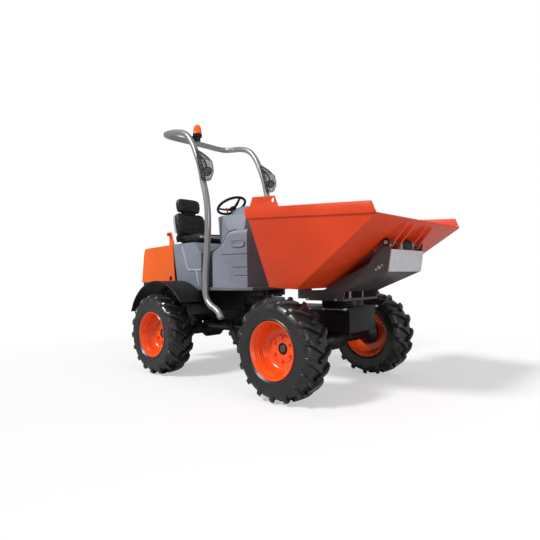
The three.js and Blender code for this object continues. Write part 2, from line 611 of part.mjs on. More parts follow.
function seatPlinth() {
  const inside = around(0, PLINTH_HALF_W - SKIN);
  const shell = sideSlab(plinthOutline(0), around(0, PLINTH_HALF_W));
  const hollow = sideSlab(plinthOutline(SKIN), inside);
  const rearOpen = box([-1720, -1590], inside, [SILL_Z[0], SEAM.topZ - SKIN - 20]);
  const shelf = box([SEAT_SHELF.rearX, SEAM.topX + 17], around(0, SEAT_SHELF.halfW),
    [SEAM.topZ - SEAT_SHELF.thick, SEAM.topZ]);
  return join(shell.subtract(hollow).subtract(rearOpen), shelf);
}

function bonnetOutline(inset) {
  const r = BONNET_REAR;
  return [
    [r.bottomX + inset, r.bottomZ - inset * 3], [r.shoulderX + inset, r.shoulderZ],
    [r.topX + inset * 0.6, r.topZ - inset], [SEAM.topX - 6 + inset * 6, SEAM.topZ - 2 - inset],
    [SEAM.bottomX - 6 + inset * 6, SEAM.bottomZ - inset * 3],
  ];
}

function bonnet() {
  const shell = sideSlab(bonnetOutline(0), around(0, BODY_HALF_W));
  const hollow = sideSlab(bonnetOutline(SKIN), around(0, BODY_HALF_W - SKIN));
  const gapY = around(0, SEAT_SHELF.halfW + RUNNING_GAP);
  const seatGap = box([SEAT_SHELF.rearX - RUNNING_GAP, SEAM.topX + 177], gapY, [1150, 1400]);
  return shell.subtract(hollow).subtract(seatGap);
}

function engineBlock() {
  return box(ENGINE.x, around(0, ENGINE.halfW), [CHASSIS_Z[1] + GAP, ENGINE.topZ]);
}

// The console's lower body, as a plan cut to the swept shoulder
function consoleShell(inset) {
  const c = CONSOLE;
  const foot = SILL_Z[1] + GAP - inset * 3;
  const half = TRIM_HALF_W - inset;
  const frontHalf = c.frontHalfW - inset * 0.8;
  const rearX = c.rearX - inset * 6;
  const frontX = c.frontX - inset;
  const plan = [
    [rearX, half], [rearX, -half], [c.taperX, -half], [frontX, -frontHalf], [frontX - c.hollow, 0],
    [frontX, frontHalf], [c.taperX, half],
  ];
  const [rearEnd, ...swept] = SHOULDER;
  const shoulder = sideSlab([
    [rearEnd[0] - inset * 6, foot], [rearEnd[0] - inset * 6, rearEnd[1] - inset],
    ...swept.map(([x, z]) => [x, z - inset]), [c.frontX + 30, foot],
  ], around(0, 500));
  return planSlab(plan, [foot, COWL.rearZ]).intersect(shoulder);
}

function cowlHull(inset) {
  const w = COWL;
  const topZ = w.topZ - inset;
  const rearZ = w.rearZ - inset;
  const half = w.topHalfW - inset;
  return symmetricHull([
    [w.footX + inset - 30, w.footZ - inset, w.footHalfW - 60 - inset],
    [w.footX + inset, w.footZ - inset, w.footHalfW - inset],
    [CONSOLE.frontX - CONSOLE.hollow - inset, w.frontZ - inset, w.footHalfW - 30 - inset],
    [w.rearX + inset, rearZ, half - 50], [w.rearX + w.chamfer, rearZ, half],
    [w.rearX + 40 + inset, topZ, half - 60], [w.rearX + 80, topZ, half - 20],
    [w.frontX - inset, topZ, half - 30],
  ]);
}

function dashConsole() {
  const inside = consoleShell(SKIN);
  const footSpace = inside.intersect(box([-1300, -400], around(0, BODY_HALF_W - 20), [700, 1185]));
  const upperSpace = inside.intersect(box([-960, -400], around(0, BODY_HALF_W - 28), [1180, 1400]));
  const outside = join(consoleShell(0), cowlHull(0));
  return outside.subtract(footSpace).subtract(cowlHull(SKIN)).subtract(upperSpace);
}

// ---- driving position ----

function wheelNormal() {
  const rake = THREE.MathUtils.degToRad(WHEEL.rake);
  return new THREE.Vector3(-Math.sin(rake), 0, Math.cos(rake));
}

function alongColumn(distance) {
  return wheelNormal().multiplyScalar(distance).add(new THREE.Vector3(WHEEL.x, 0, WHEEL.z)).toArray();
}

function steeringColumn() {
  const column = rodBetween(alongColumn(COLUMN.foot), alongColumn(WHEEL.hubRise[0] - GAP), COLUMN.r);
  return join(symmetricHull(POD), column);
}

function steeringWheel() {
  const normal = wheelNormal();
  const across = new THREE.Vector3(0, 1, 0);
  const ahead = new THREE.Vector3().crossVectors(across, normal);
  const at = (angle, radius, rise) => new THREE.Vector3(...alongColumn(rise))
    .addScaledVector(across, Math.sin(angle) * radius)
    .addScaledVector(ahead, Math.cos(angle) * radius)
    .toArray();
  const ring = WHEEL.r - WHEEL.rimR;
  const torus = new THREE.TorusGeometry(ring, WHEEL.rimR, 8, 28);
  torus.applyQuaternion(new THREE.Quaternion().setFromUnitVectors(new THREE.Vector3(0, 0, 1), normal));
  torus.translate(WHEEL.x, 0, WHEEL.z);
  const hub = rodBetween(alongColumn(WHEEL.hubRise[0]), alongColumn(WHEEL.hubRise[1]), WHEEL.hubR);
  const spokes = [0, 1, 2].map((i) => {
    const angle = (i * 2 * Math.PI) / 3;
    return rodBetween(at(angle, 18, WHEEL.hubRise[0] + 18), at(angle, ring, 0), WHEEL.spokeR, 10);
  });
  return join(toSolid(torus), hub, ...spokes);
}

function seatBase() {
  const z = [SEAM.topZ + GAP, SEAT.cushionZ - GAP];
  return box([SEAT.rearX + 40, SEAT.frontX - 60], around(0, SEAT.baseHalfW), z);
}

function seatCushion() {
  const { frontX, rearX, cushionZ, topZ } = SEAT;
  return symmetricHull([
    [frontX, cushionZ + 15, 195], [frontX - 25, cushionZ, 200], [frontX - 10, topZ - 30, 195],
    [frontX - 50, topZ, 190], [rearX + 30, topZ - 20, 190], [rearX + 10, cushionZ, 195],
    [frontX - 120, cushionZ + 40, 215], [rearX + 60, cushionZ + 40, 215],
  ]);
}

function seatBack() {
  const { rearX, topZ, backTopZ } = SEAT;
  const back = symmetricHull([
    [rearX + 95, topZ + 12, 190], [rearX + 60, 1480, 215], [rearX + 30, 1600, 205],
    [rearX + 8, backTopZ, 170], [rearX - 60, backTopZ, 165], [rearX - 62, 1560, 200],
    [rearX - 30, 1400, 205], [rearX - 5, topZ - 60, 180], [rearX + 5 - GAP, topZ - 60, 180],
  ]);
  const cushion = seatCushion();
  const clearOf = join(cushion, cushion.translate([-GAP, 0, 0]), cushion.translate([0, 0, GAP]));
  return back.subtract(clearOf);
}

function headrest() {
  const { rearX, backTopZ } = SEAT;
  const foot = backTopZ + GAP;
  return symmetricHull([
    [rearX + 30, 1668, 155], [rearX + 22, 1775, 165], [rearX, 1800, 148], [rearX - 60, 1800, 140],
    [rearX - 82, 1770, 150], [rearX - 72, foot, 130], [rearX - 5, foot, 145],
  ]);
}

function lever({ foot, top, knobR = LEVER.knobR }) {
  const knob = new THREE.SphereGeometry(knobR, 10, 6);
  knob.translate(...top);
  const above = (rise) => [foot[0], foot[1], foot[2] + rise];
  const boot = rodBetween(foot, above(LEVER.bootHigh), LEVER.bootR, 14);
  return join(boot, rodBetween(above(8), top, LEVER.stemR, 10), toSolid(knob));
}

// The folded bracket on the bonnet, beside the seat, that carries a round knob
function knobBracket() {
  const { outline, y, footY, footTopZ, knob } = BRACKET;
  const at = (depth) => [knob.x, depth, knob.z];
  const plate = sideSlab(outline, y);
  const foot = box([outline[0][0], outline[4][0]], [footY, y[1]], [outline[0][1], footTopZ]);
  const stem = rodBetween(at(y[1] + 12), at(knob.y[1]), knob.stemR, 12);
  const grip = rodBetween(at(knob.y[1]), at(knob.y[0]), knob.r, 14);
  const lid = sideSlab(bonnetOutline(0), around(0, BODY_HALF_W)).translate([0, 0, GAP]);
  return join(plate, foot, stem, grip).subtract(lid);
}

// ---- roll-over frame and what it carries ----

function ropsTube(radius) {
  const leg = ROPS_LEG.map(([x, z]) => [x, -ROPS_Y, z]);
  const corner = ROPS_CORNER.map(([x, inset, z]) => [x, inset - ROPS_Y, z]);
  const right = [...leg, ...corner];
  const left = right.map(([x, y, z]) => [x, -y, z]).reverse();
  return tube([...right, ...left], radius, 64);
}

function beaconBase() {
  const b = BEACON;
  const at = (drop) => [b.x, b.y, b.z - drop];
  const post = rodBetween(at(b.postHigh), at(0), b.postR, 16);
  const cap = rodBetween(at(b.capHigh), at(0), b.r);
  const arm = box(around(b.x, b.armHalfL), [-ROPS_Y, b.y], [b.z - b.armDrop[0], b.z - b.armDrop[1]]);
  return largest(join(post, cap, arm).subtract(ropsTube(ROPS_R + GAP)));
}

function beaconDome() {
  return lathe(BEACON.dome, 20).rotate([90, 0, 0]).translate([BEACON.x, BEACON.y, BEACON.z + GAP]);
}

function workLight() {
  const body = hull(LIGHT.outline.flatMap(([x, z]) => {
    const half = x < LIGHT.rearX ? LIGHT.rearHalfW : LIGHT.halfW;
    return [[x, ROPS_Y - half, z], [x, ROPS_Y + half, z]];
  }));
  return largest(body.subtract(ropsTube(ROPS_R + GAP)));
}

function rearFender() {
  const f = FENDER;
  const centre = [-WHEELBASE, AXLE_Z];
  const frontAngle = THREE.MathUtils.radToDeg(Math.acos(f.frontReach / f.outerR));
  const outer = arcPoints(centre, f.outerR, frontAngle, f.rearAngle, 14);
  const inner = (depth) => arcPoints(centre, f.outerR - depth, f.rearAngle, frontAngle, 14);
  return join(
    sideSlab([...outer, ...inner(f.thick)], [f.innerY, f.outerY]),
    sideSlab([...outer, ...inner(f.flange)], [f.innerY, f.innerY + f.thick]),
  );
}

// ---- assembly ----

function addNode(group, name, solid, colourName) {
  const [color, roughness, metalness] = COLOURS[colourName];
  const material = new THREE.MeshStandardMaterial({ color, roughness, metalness });
  const mesh = new THREE.Mesh(toGeometry(solid), material);
  mesh.name = name;
  group.add(mesh);
}

function addWheels(group) {
  for (const [where, x] of [['front', 0], ['rear', -WHEELBASE]]) {
    for (const [hand, side] of [['left', 1], ['right', -1]]) {
      const place = [x, side * HALF_TRACK, AXLE_Z];
      addNode(group, `tyre_${where}_${hand}`, tyre().translate(place), 'tyre');
      addNode(group, `wheel_rim_${where}_${hand}`, rim(side).translate(place), 'orange');
    }
  }
}

// A piece on the left and its mirror image on the right
function addPair(group, name, left, colourName) {
  addNode(group, `${name}_left`, left, colourName);
  addNode(group, `${name}_right`, mirrored(left), colourName);
}

function build() {
  const machine = new THREE.Group();
  machine.position.set(FRONT_AXLE_X, 0, BODY_LIFT);
  const tip = tipCylinder();
  const steer = steeringCylinder();
  addWheels(machine);
  addNode(machine, 'front_axle', axle(0), 'black');
  addNode(machine, 'rear_axle', axle(-WHEELBASE), 'black');
  addNode(machine, 'front_chassis', frontChassis(), 'black');
  addNode(machine, 'rear_chassis', rearChassis(), 'black');
  addNode(machine, 'engine_deck', engineDeck(), 'black');
  addNode(machine, 'counterweight', counterweight(), 'grey');
  addNode(machine, 'slew_ring', slewRing(), 'black');
  addNode(machine, 'tipping_frame', tippingFrame(), 'darkGrey');
  addNode(machine, 'skip', skip(), 'orange');
  addNode(machine, 'tip_cylinder_barrel', tip.barrel, 'black');
  addNode(machine, 'tip_cylinder_rod', tip.rod, 'steel');
  addNode(machine, 'steering_cylinder_barrel', steer.barrel, 'black');
  addNode(machine, 'steering_cylinder_rod', steer.rod, 'steel');
  addNode(machine, 'engine_block', engineBlock(), 'black');
  addNode(machine, 'bonnet', bonnet(), 'bonnetOrange');
  addNode(machine, 'seat_plinth', seatPlinth(), 'grey');
  addNode(machine, 'operator_platform', platform(), 'paleGrey');
  addNode(machine, 'console', dashConsole(), 'grey');
  addNode(machine, 'steering_column', steeringColumn(), 'grey');
  addNode(machine, 'steering_wheel', steeringWheel(), 'black');
  addNode(machine, 'seat_base', seatBase(), 'black');
  addNode(machine, 'seat_cushion', seatCushion(), 'seat');
  addNode(machine, 'seat_back', seatBack(), 'seat');
  addNode(machine, 'headrest', headrest(), 'seat');
  addNode(machine, 'rops_frame', ropsTube(ROPS_R), 'grey');
  addNode(machine, 'beacon_base', beaconBase(), 'black');
  addNode(machine, 'beacon_dome', beaconDome(), 'amber');
  addPair(machine, 'work_light', workLight(), 'black');
  addPair(machine, 'rear_fender', rearFender(), 'black');
  addNode(machine, 'tip_lever', lever(TIP_LEVER), 'black');
  addNode(machine, 'gear_lever', lever(GEAR_LEVER), 'black');
  addNode(machine, 'brake_lever', lever(BRAKE_LEVER), 'black');
  addNode(machine, 'knob_bracket', knobBracket(), 'bonnetOrange');
  return machine;
}

export default build();
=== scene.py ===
"""Looks for a small articulated site dumper with a swivelling skip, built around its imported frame.

Metres, +Z up, +X towards the skip's lip, +Y to the machine's left.
Places along the machine are measured from the front axle, as on its drawing.
"""
import math
from contextlib import contextmanager

import bmesh
import bpy
from bpy.props import FloatProperty, FloatVectorProperty, IntProperty, PointerProperty
from mathutils import Matrix, Vector


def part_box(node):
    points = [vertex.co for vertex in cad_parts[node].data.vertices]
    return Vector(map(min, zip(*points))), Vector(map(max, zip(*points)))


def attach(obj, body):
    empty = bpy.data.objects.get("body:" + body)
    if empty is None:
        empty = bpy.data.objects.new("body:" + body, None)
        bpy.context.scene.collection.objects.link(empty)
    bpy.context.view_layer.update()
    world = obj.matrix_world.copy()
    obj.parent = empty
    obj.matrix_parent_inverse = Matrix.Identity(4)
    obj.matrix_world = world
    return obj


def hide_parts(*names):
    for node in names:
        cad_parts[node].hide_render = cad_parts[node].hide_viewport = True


bl_info = {
    "name": "Site dumper",
    "version": (1, 0, 0),
    "blender": (4, 5, 0),
    "location": "3D View > Sidebar > Dumper",
    "description": "Builds the looks of a swivel-skip site dumper on its packed frame",
    "category": "Object",
}

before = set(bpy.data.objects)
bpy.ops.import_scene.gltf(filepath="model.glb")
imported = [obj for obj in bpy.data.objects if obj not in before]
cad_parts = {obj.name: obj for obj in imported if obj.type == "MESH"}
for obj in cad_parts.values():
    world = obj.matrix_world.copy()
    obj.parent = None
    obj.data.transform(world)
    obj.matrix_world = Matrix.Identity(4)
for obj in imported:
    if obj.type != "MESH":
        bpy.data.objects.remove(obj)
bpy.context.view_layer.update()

# ---- places read from the frame ----


def middle(node):
    """The centre of a CAD node's box."""
    low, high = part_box(node)
    return (low + high) / 2


AXLE_X = middle("front_axle").x
WHEEL_Z = middle("front_axle").z
WHEELS = {
    f"{where}_{hand}": middle(f"tyre_{where}_{hand}")
    for where in ("front", "rear")
    for hand in ("left", "right")
}
TYRE_R = (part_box("tyre_front_left")[1].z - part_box("tyre_front_left")[0].z) / 2
BODY_HALF_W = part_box("bonnet")[1].y
SIDES = ((-1, "right"), (1, "left"))
UP = Vector((0, 0, 1))
ACROSS = Vector((0, 1, 0))
AHEAD = Vector((1, 0, 0))


def at(x, y, z):
    """A point whose x is measured from the front axle."""
    return Vector((AXLE_X + x, y, z))


def srgb(red, green, blue):
    """A linear colour from the 0 to 255 values of a colour chart."""
    def linear(value):
        share = value / 255
        return share / 12.92 if share <= 0.04045 else ((share + 0.055) / 1.055) ** 2.4
    return (linear(red), linear(green), linear(blue), 1.0)


# ---- modelling helpers ----


def only(piece):
    """Selects one object and makes it active."""
    bpy.ops.object.select_all(action="DESELECT")
    piece.select_set(True)
    bpy.context.view_layer.objects.active = piece


def newest(name):
    """Names the object that an operator has just added."""
    piece = bpy.context.object
    piece.name = name
    piece.data.name = name
    return piece


@contextmanager
def editing(piece, mode="FACE"):
    """Edit mode on one piece, with nothing selected at the start."""
    only(piece)
    bpy.ops.object.mode_set(mode="EDIT")
    bpy.ops.mesh.select_mode(type=mode)
    bpy.ops.mesh.select_all(action="DESELECT")
    yield piece
    bpy.ops.object.mode_set(mode="OBJECT")


def pick_edges(piece, wanted):
    """Selects the edges whose two ends pass a test."""
    mesh = bmesh.from_edit_mesh(piece.data)
    for edge in mesh.edges:
        edge.select_set(bool(wanted(edge.verts[0].co, edge.verts[1].co)))
    bmesh.update_edit_mesh(piece.data)


def outward(piece):
    """Welds the seams and turns every face outwards."""
    with editing(piece):
        bpy.ops.mesh.select_all(action="SELECT")
        bpy.ops.mesh.remove_doubles(threshold=1e-5)
        bpy.ops.mesh.normals_make_consistent(inside=False)
    return piece


def smooth(piece, degrees=35):
    """Rounds the shading except across edges sharper than the angle."""
    only(piece)
    bpy.ops.object.shade_smooth_by_angle(angle=math.radians(degrees))
    return piece


def modified(piece, kind, **settings):
    """Adds a modifier and applies it."""
    only(piece)
    modifier = piece.modifiers.new(kind.title(), kind)
    for setting, value in settings.items():
        setattr(modifier, setting, value)
    bpy.ops.object.modifier_apply(modifier=modifier.name)
    return piece


def soften(piece, width, segments=2, degrees=28):
    """Rounds the sharp edges with a small bevel."""
    modified(piece, "BEVEL", width=width, segments=segments, limit_method="ANGLE",
             angle_limit=math.radians(degrees), harden_normals=False, use_clamp_overlap=True)
    return smooth(piece)


def subdivided(piece):
    """One level of Catmull-Clark subdivision, applied."""
    modified(piece, "SUBSURF", levels=1, render_levels=1)
    return smooth(piece, 60)


def lofted(name, rings):
    """A closed skin over rings of points: a disc laid on the first ring and extruded to each next one."""
    bpy.ops.object.select_all(action="DESELECT")
    bpy.ops.mesh.primitive_circle_add(vertices=len(rings[0]), fill_type="NGON")
    piece = newest(name)
    with editing(piece, "VERT"):
        mesh = bmesh.from_edit_mesh(piece.data)
        for vertex, point in zip(mesh.verts, rings[0]):
            vertex.co = Vector(point)
        bmesh.update_edit_mesh(piece.data)
        bpy.ops.mesh.select_all(action="SELECT")
        for before, ring in zip(rings, rings[1:]):
            bpy.ops.mesh.extrude_region_move()
            mesh = bmesh.from_edit_mesh(piece.data)
            for vertex in [v for v in mesh.verts if v.select]:
                nearest = min(range(len(before)), key=lambda i: (Vector(before[i]) - vertex.co).length)
                vertex.co = Vector(ring[nearest])
            bmesh.update_edit_mesh(piece.data)
    return outward(piece)


def slab(name, outline, y):
    """A side outline of (x, z) points, given a thickness across the machine."""
    return lofted(name, [[at(x, side, z) for x, z in outline] for side in y])


def plan_slab(name, outline, z):
    """A plan outline of (x, y) points, given a height."""
    return lofted(name, [[at(x, y, level) for x, y in outline] for level in z])


def hulled(name, points):
    """The tightest closed form round some points."""
    bpy.ops.object.select_all(action="DESELECT")
    bpy.ops.mesh.primitive_circle_add(vertices=len(points), fill_type="NOTHING")
    piece = newest(name)
    with editing(piece, "VERT"):
        mesh = bmesh.from_edit_mesh(piece.data)
        for vertex, point in zip(mesh.verts, points):
            vertex.co = Vector(point)
        bmesh.update_edit_mesh(piece.data)
        bpy.ops.mesh.select_all(action="SELECT")
        bpy.ops.mesh.convex_hull()
        bpy.ops.mesh.select_all(action="SELECT")
        bpy.ops.mesh.dissolve_limited(angle_limit=math.radians(1))
    return outward(piece)


def block(name, low, high):
    """A box between two corners."""
    bpy.ops.object.select_all(action="DESELECT")
    bpy.ops.mesh.primitive_cube_add(size=1, location=(Vector(low) + Vector(high)) / 2)
    piece = newest(name)
    piece.scale = Vector(high) - Vector(low)
    return settled(piece)


def settled(piece):
    """Moves the object's place, turn and scale into its mesh."""
    only(piece)
    bpy.ops.object.transform_apply(location=True, rotation=True, scale=True)
    return piece


def rod(name, start, end, radius, sides=24):
    """A round bar from one point to another."""
    along = Vector(end) - Vector(start)
    bpy.ops.object.select_all(action="DESELECT")
    bpy.ops.mesh.primitive_cone_add(
        vertices=sides, radius1=radius, radius2=radius, depth=along.length,
        location=(Vector(start) + Vector(end)) / 2, rotation=along.to_track_quat("Z", "Y").to_euler())
    return settled(newest(name))


def turned(name, profile, centre, axis=ACROSS, steps=48):
    """A lathe-turned form: profile points are (radius, distance along the axis)."""
    side = UP if abs(axis.dot(UP)) < 0.9 else AHEAD
    side = (side - axis * axis.dot(side)).normalized()
    bpy.ops.object.select_all(action="DESELECT")
    bpy.ops.mesh.primitive_circle_add(vertices=len(profile), fill_type="NOTHING")
    piece = newest(name)
    with editing(piece, "VERT"):
        mesh = bmesh.from_edit_mesh(piece.data)
        for vertex, (radius, along) in zip(mesh.verts, profile):
            vertex.co = Vector(centre) + axis * along + side * radius
        bmesh.update_edit_mesh(piece.data)
        bpy.ops.mesh.select_all(action="SELECT")
        bpy.ops.mesh.spin(steps=steps, angle=math.tau, center=centre, axis=axis)
        bpy.ops.mesh.select_all(action="SELECT")
        bpy.ops.mesh.remove_doubles(threshold=1e-5)
        bpy.ops.mesh.dissolve_degenerate(threshold=1e-6)
    return smooth(outward(piece), 32)


def tube(name, points, radius, closed=False, sides=8, steps=6):
    """A round tube along a smooth curve through the points."""
    bpy.ops.object.select_all(action="DESELECT")
    bpy.ops.curve.primitive_bezier_curve_add()
    piece = newest(name)
    curve = piece.data
    curve.resolution_u = steps
    curve.bevel_depth = radius
    curve.bevel_resolution = sides // 2
    curve.use_fill_caps = not closed
    spline = curve.splines[0]
    spline.bezier_points.add(len(points) - 2)
    spline.use_cyclic_u = closed
    for knot, point in zip(spline.bezier_points, points):
        knot.co = Vector(point)
        knot.handle_left_type = "AUTO"
        knot.handle_right_type = "AUTO"
    only(piece)
    bpy.ops.object.convert(target="MESH")
    return smooth(outward(newest(name)), 50)


def copied(piece, move, name=None):
    """A copy with its own mesh, moved by a matrix or a vector."""
    matrix = move if isinstance(move, Matrix) else Matrix.Translation(move)
    twin = bpy.data.objects.new(name or piece.name, piece.data.copy())
    bpy.context.scene.collection.objects.link(twin)
    twin.data.transform(matrix)
    if matrix.determinant() < 0:
        twin.data.flip_normals()
    return twin


def mirrored(piece, name=None):
    """The same piece on the machine's other side."""
    return copied(piece, Matrix.Scale(-1, 4, ACROSS), name)


def joined(name, pieces):
    """Several bodies as one piece."""
    bpy.ops.object.select_all(action="DESELECT")
    for piece in pieces:
        piece.select_set(True)
    bpy.context.view_layer.objects.active = pieces[0]
    if len(pieces) > 1:
        bpy.ops.object.join()
    return newest(name)


def cut(piece, *tools):
    """Takes other bodies away from a piece."""
    for tool in tools:
        modified(piece, "BOOLEAN", operation="DIFFERENCE", solver="EXACT", object=tool)
        bpy.data.objects.remove(tool)
    return piece


def kept_in(piece, tool):
    """Keeps only what lies inside another body."""
    modified(piece, "BOOLEAN", operation="INTERSECT", solver="EXACT", object=tool)
    bpy.data.objects.remove(tool)
    return piece


def frame_copy(node, name):
    """A copy of a CAD node's mesh, with its seams welded and each flat face in one piece."""
    piece = bpy.data.objects.new(name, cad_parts[node].data.copy())
    bpy.context.scene.collection.objects.link(piece)
    piece.data.materials.clear()
    with editing(piece):
        bpy.ops.mesh.select_all(action="SELECT")
        bpy.ops.mesh.remove_doubles(threshold=2e-5)
        bpy.ops.mesh.dissolve_limited(angle_limit=math.radians(1.5))
    return piece


def refined(node, name, width=0.002, segments=2):
    """A CAD node's own shape with its edges rounded."""
    piece = frame_copy(node, name)
    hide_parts(node)
    return soften(piece, width, segments) if width else smooth(piece)


def circle(count, start=0.0, sweep=math.tau):
    """Evenly spaced angles round a circle or a part of one."""
    return [start + sweep * i / count for i in range(count)]


def superellipse(count, half_u, half_v, power):
    """A rounded rectangle of points round the origin."""
    ring = []
    for angle in circle(count):
        c, s = math.cos(angle), math.sin(angle)
        ring.append((math.copysign(abs(c) ** (2 / power), c) * half_u,
                     math.copysign(abs(s) ** (2 / power), s) * half_v))
    return ring


def oblong(rear, front, half):
    """The plan corners of a rectangle that lies along the machine."""
    return [(rear, half), (rear, -half), (front, -half), (front, half)]


def hex_bolt(name, place, normal, across=0.019, high=0.010):
    """A hexagon head on its washer."""
    normal = Vector(normal).normalized()
    washer = rod(name, place, place + normal * high * 0.2, across * 0.72, 20)
    head = rod(name, place + normal * high * 0.2, place + normal * high, across * 0.577, 6)
    return soften(joined(name, [washer, head]), 0.0009, 1)


def bolts(name, places, normal, across=0.019, high=0.010):
    """One bolt, copied to each place."""
    first = hex_bolt(name, Vector(), normal, across, high)
    heads = [copied(first, Vector(place)) for place in places]
    bpy.data.objects.remove(first)
    return joined(name, heads)


def fitted(piece, body, finish, slot, *nodes):
    """Gives a finished piece its material and the body that it moves with, and hides the CAD nodes given; the
    slot that it is handed is not used.
    """
    piece.data.materials.clear()
    piece.data.materials.append(finish)
    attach(piece, body)
    if nodes:
        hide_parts(*nodes)
    return piece


# ---- materials ----


class Value:
    """A number in a material, on which Python's operators add Math nodes."""

    def __init__(self, finish, socket):
        self.finish = finish
        self.socket = socket

    def math(self, operation, *others):
        """One Math node on this number and others."""
        values = [self.socket] + [o.socket if isinstance(o, Value) else o for o in others]
        node = self.finish.node("ShaderNodeMath", {"operation": operation}, dict(enumerate(values)))
        return Value(self.finish, node.outputs[0])

    def __add__(self, other):
        return self.math("ADD", other)

    __radd__ = __add__

    def __mul__(self, other):
        return self.math("MULTIPLY", other)

    __rmul__ = __mul__

    def spread(self, low, high, to_low=0.0, to_high=1.0):
        """This number's stretch from low to high, moved to another stretch and held there."""
        node = self.finish.node(
            "ShaderNodeMapRange", {"clamp": True, "interpolation_type": "SMOOTHSTEP"},
            {"Value": self.socket, "From Min": low, "From Max": high, "To Min": to_low, "To Max": to_high})
        return Value(self.finish, node.outputs["Result"])


class Finish:
    """One material, built from nodes round a Principled shader."""

    def __init__(self, name, color, roughness, metallic=0.0, **constants):
        self.material = bpy.data.materials.new(f"finish_{name}")
        self.material.use_nodes = True
        self.tree = self.material.node_tree
        self.shader = self.tree.nodes["Principled BSDF"]
        self.material.diffuse_color = color
        self.color = color
        self.set("Base Color", color)
        self.set("Roughness", roughness)
        self.set("Metallic", metallic)
        for socket, value in constants.items():
            self.set(socket.replace("_", " "), value)
        place = self.node("ShaderNodeTexCoord", {}, {})
        self.place = place.outputs["Object"]
        self.bump_chain = None

    def node(self, kind, settings, inputs):
        """Adds a node: its settings first, then the values or links of its sockets."""
        node = self.tree.nodes.new(kind)
        for setting, value in settings.items():
            if setting == "stops":
                for stop, (position, color) in zip(node.color_ramp.elements, value):
                    stop.position = position
                    stop.color = color
            else:
                setattr(node, setting, value)
        for socket, value in inputs.items():
            if isinstance(value, Value):
                value = value.socket
            if isinstance(value, bpy.types.NodeSocket):
                self.tree.links.new(value, node.inputs[socket])
            else:
                node.inputs[socket].default_value = value
        return node

    def set(self, socket, value):
        """Puts a constant on one of the shader's own sockets, or links a pattern to it."""
        if isinstance(value, Value):
            value = value.socket
        if isinstance(value, bpy.types.NodeSocket):
            self.tree.links.new(value, self.shader.inputs[socket])
        else:
            self.shader.inputs[socket].default_value = value

    def noise(self, scale, detail=3.0, roughness=0.5, stretch=(1, 1, 1)):
        """Cloudy noise, with scale in patches per metre."""
        place = self.place
        if stretch != (1, 1, 1):
            place = self.node("ShaderNodeMapping", {}, {"Vector": place, "Scale": stretch}).outputs[0]
        node = self.node("ShaderNodeTexNoise", {}, {
            "Vector": place, "Scale": scale, "Detail": detail, "Roughness": roughness})
        return Value(self, node.outputs["Fac"])

    def cells(self, scale, feature="F1"):
        """Cell pattern, with scale in cells per metre."""
        node = self.node("ShaderNodeTexVoronoi", {"feature": feature}, {"Vector": self.place, "Scale": scale})
        return Value(self, node.outputs["Distance"])

    def height(self):
        """How high a point is above the ground, in metres."""
        node = self.node("ShaderNodeSeparateXYZ", {}, {0: self.place})
        return Value(self, node.outputs["Z"])

    def edges(self, low=0.52, high=0.62):
        """Where the surface bends outwards, as on a rounded edge."""
        node = self.node("ShaderNodeNewGeometry", {}, {})
        return Value(self, node.outputs["Pointiness"]).spread(low, high)

    def mix(self, share, first, second):
        """A colour between two others."""
        node = self.node("ShaderNodeMix", {"data_type": "RGBA"}, {0: share, 6: first, 7: second})
        return node.outputs[2]

    def bump(self, pattern, strength, depth=0.001):
        """Lifts and sinks the surface by a pattern, on top of the bumps already there."""
        inputs = {"Strength": strength, "Distance": depth, "Height": pattern}
        if self.bump_chain is not None:
            inputs["Normal"] = self.bump_chain
        self.bump_chain = self.node("ShaderNodeBump", {}, inputs).outputs[0]
        self.set("Normal", self.bump_chain)


def shade(color, factor):
    """A colour made darker or lighter."""
    return tuple(min(1.0, channel * factor) for channel in color[:3]) + (1.0,)


DUST = srgb(150, 142, 130)


def paint(name, color, roughness=0.36, dust=0.1, coat=0.1):
    """Sprayed paint on steel: faint orange peel, dulled patches, dust low down, and rounded edges lightened
    in patches, partly as thin wear and partly as a painted highlight.
    """
    finish = Finish(name, color, roughness, Coat_Weight=coat, Coat_Roughness=0.2, Specular_IOR_Level=0.4)
    patches = finish.noise(3.0, 4.0)
    grime_and_highlight_patches = finish.noise(26.0, 5.0, 0.65)
    low_dust = finish.height().spread(1.1, 0.1) * grime_and_highlight_patches.spread(0.35, 0.75) * dust
    tone = finish.mix(patches.spread(0.3, 0.7), shade(color, 0.93), shade(color, 1.05))
    # painted highlight: rounded edges are lightened in patches, standing for the light that they catch as
    # well as for thin wear
    lightened_edges = finish.mix(finish.edges(0.53, 0.60) * grime_and_highlight_patches.spread(0.45, 0.7) * 0.35, tone, shade(color, 1.5))
    finish.set("Base Color", finish.mix(low_dust, lightened_edges, DUST))
    finish.set("Roughness", patches.spread(0.3, 0.7, roughness - 0.05, roughness + 0.07) + low_dust * 0.5)
    finish.bump(finish.noise(420.0, 2.0), 0.05, 0.0006)
    return finish.material


def silver_paint(name, color):
    """Metallic silver paint, which darkens where it turns away from the light."""
    finish = Finish(name, color, 0.34, 0.55, Coat_Weight=0.2, Coat_Roughness=0.15)
    patches = finish.noise(3.0, 4.0)
    finish.set("Base Color", finish.mix(patches.spread(0.3, 0.7), shade(color, 0.94), shade(color, 1.05)))
    finish.set("Roughness", patches.spread(0.3, 0.7, 0.30, 0.38))
    finish.bump(finish.noise(900.0, 2.0), 0.04, 0.0004)
    return finish.material


def tyre_rubber():
    """New black rubber with a soft sheen, a little dust in the hollows and a fine moulded grain."""
    colors = bpy.context.scene.dumper_colors
    base = tuple(colors.rubber)
    finish = Finish("tyre_rubber", base, 0.36, Specular_IOR_Level=0.7)
    patches = finish.noise(9.0, 4.0)
    grain = finish.noise(180.0, 4.0, 0.6)
    dusty = patches.spread(0.45, 0.75) * grain.spread(0.4, 0.7) * 0.06
    finish.set("Base Color", finish.mix(dusty, base, DUST))
    finish.set("Roughness", patches.spread(0.3, 0.7, 0.26, 0.42) + dusty)
    finish.bump(grain, 0.08, 0.0006)
    return finish.material


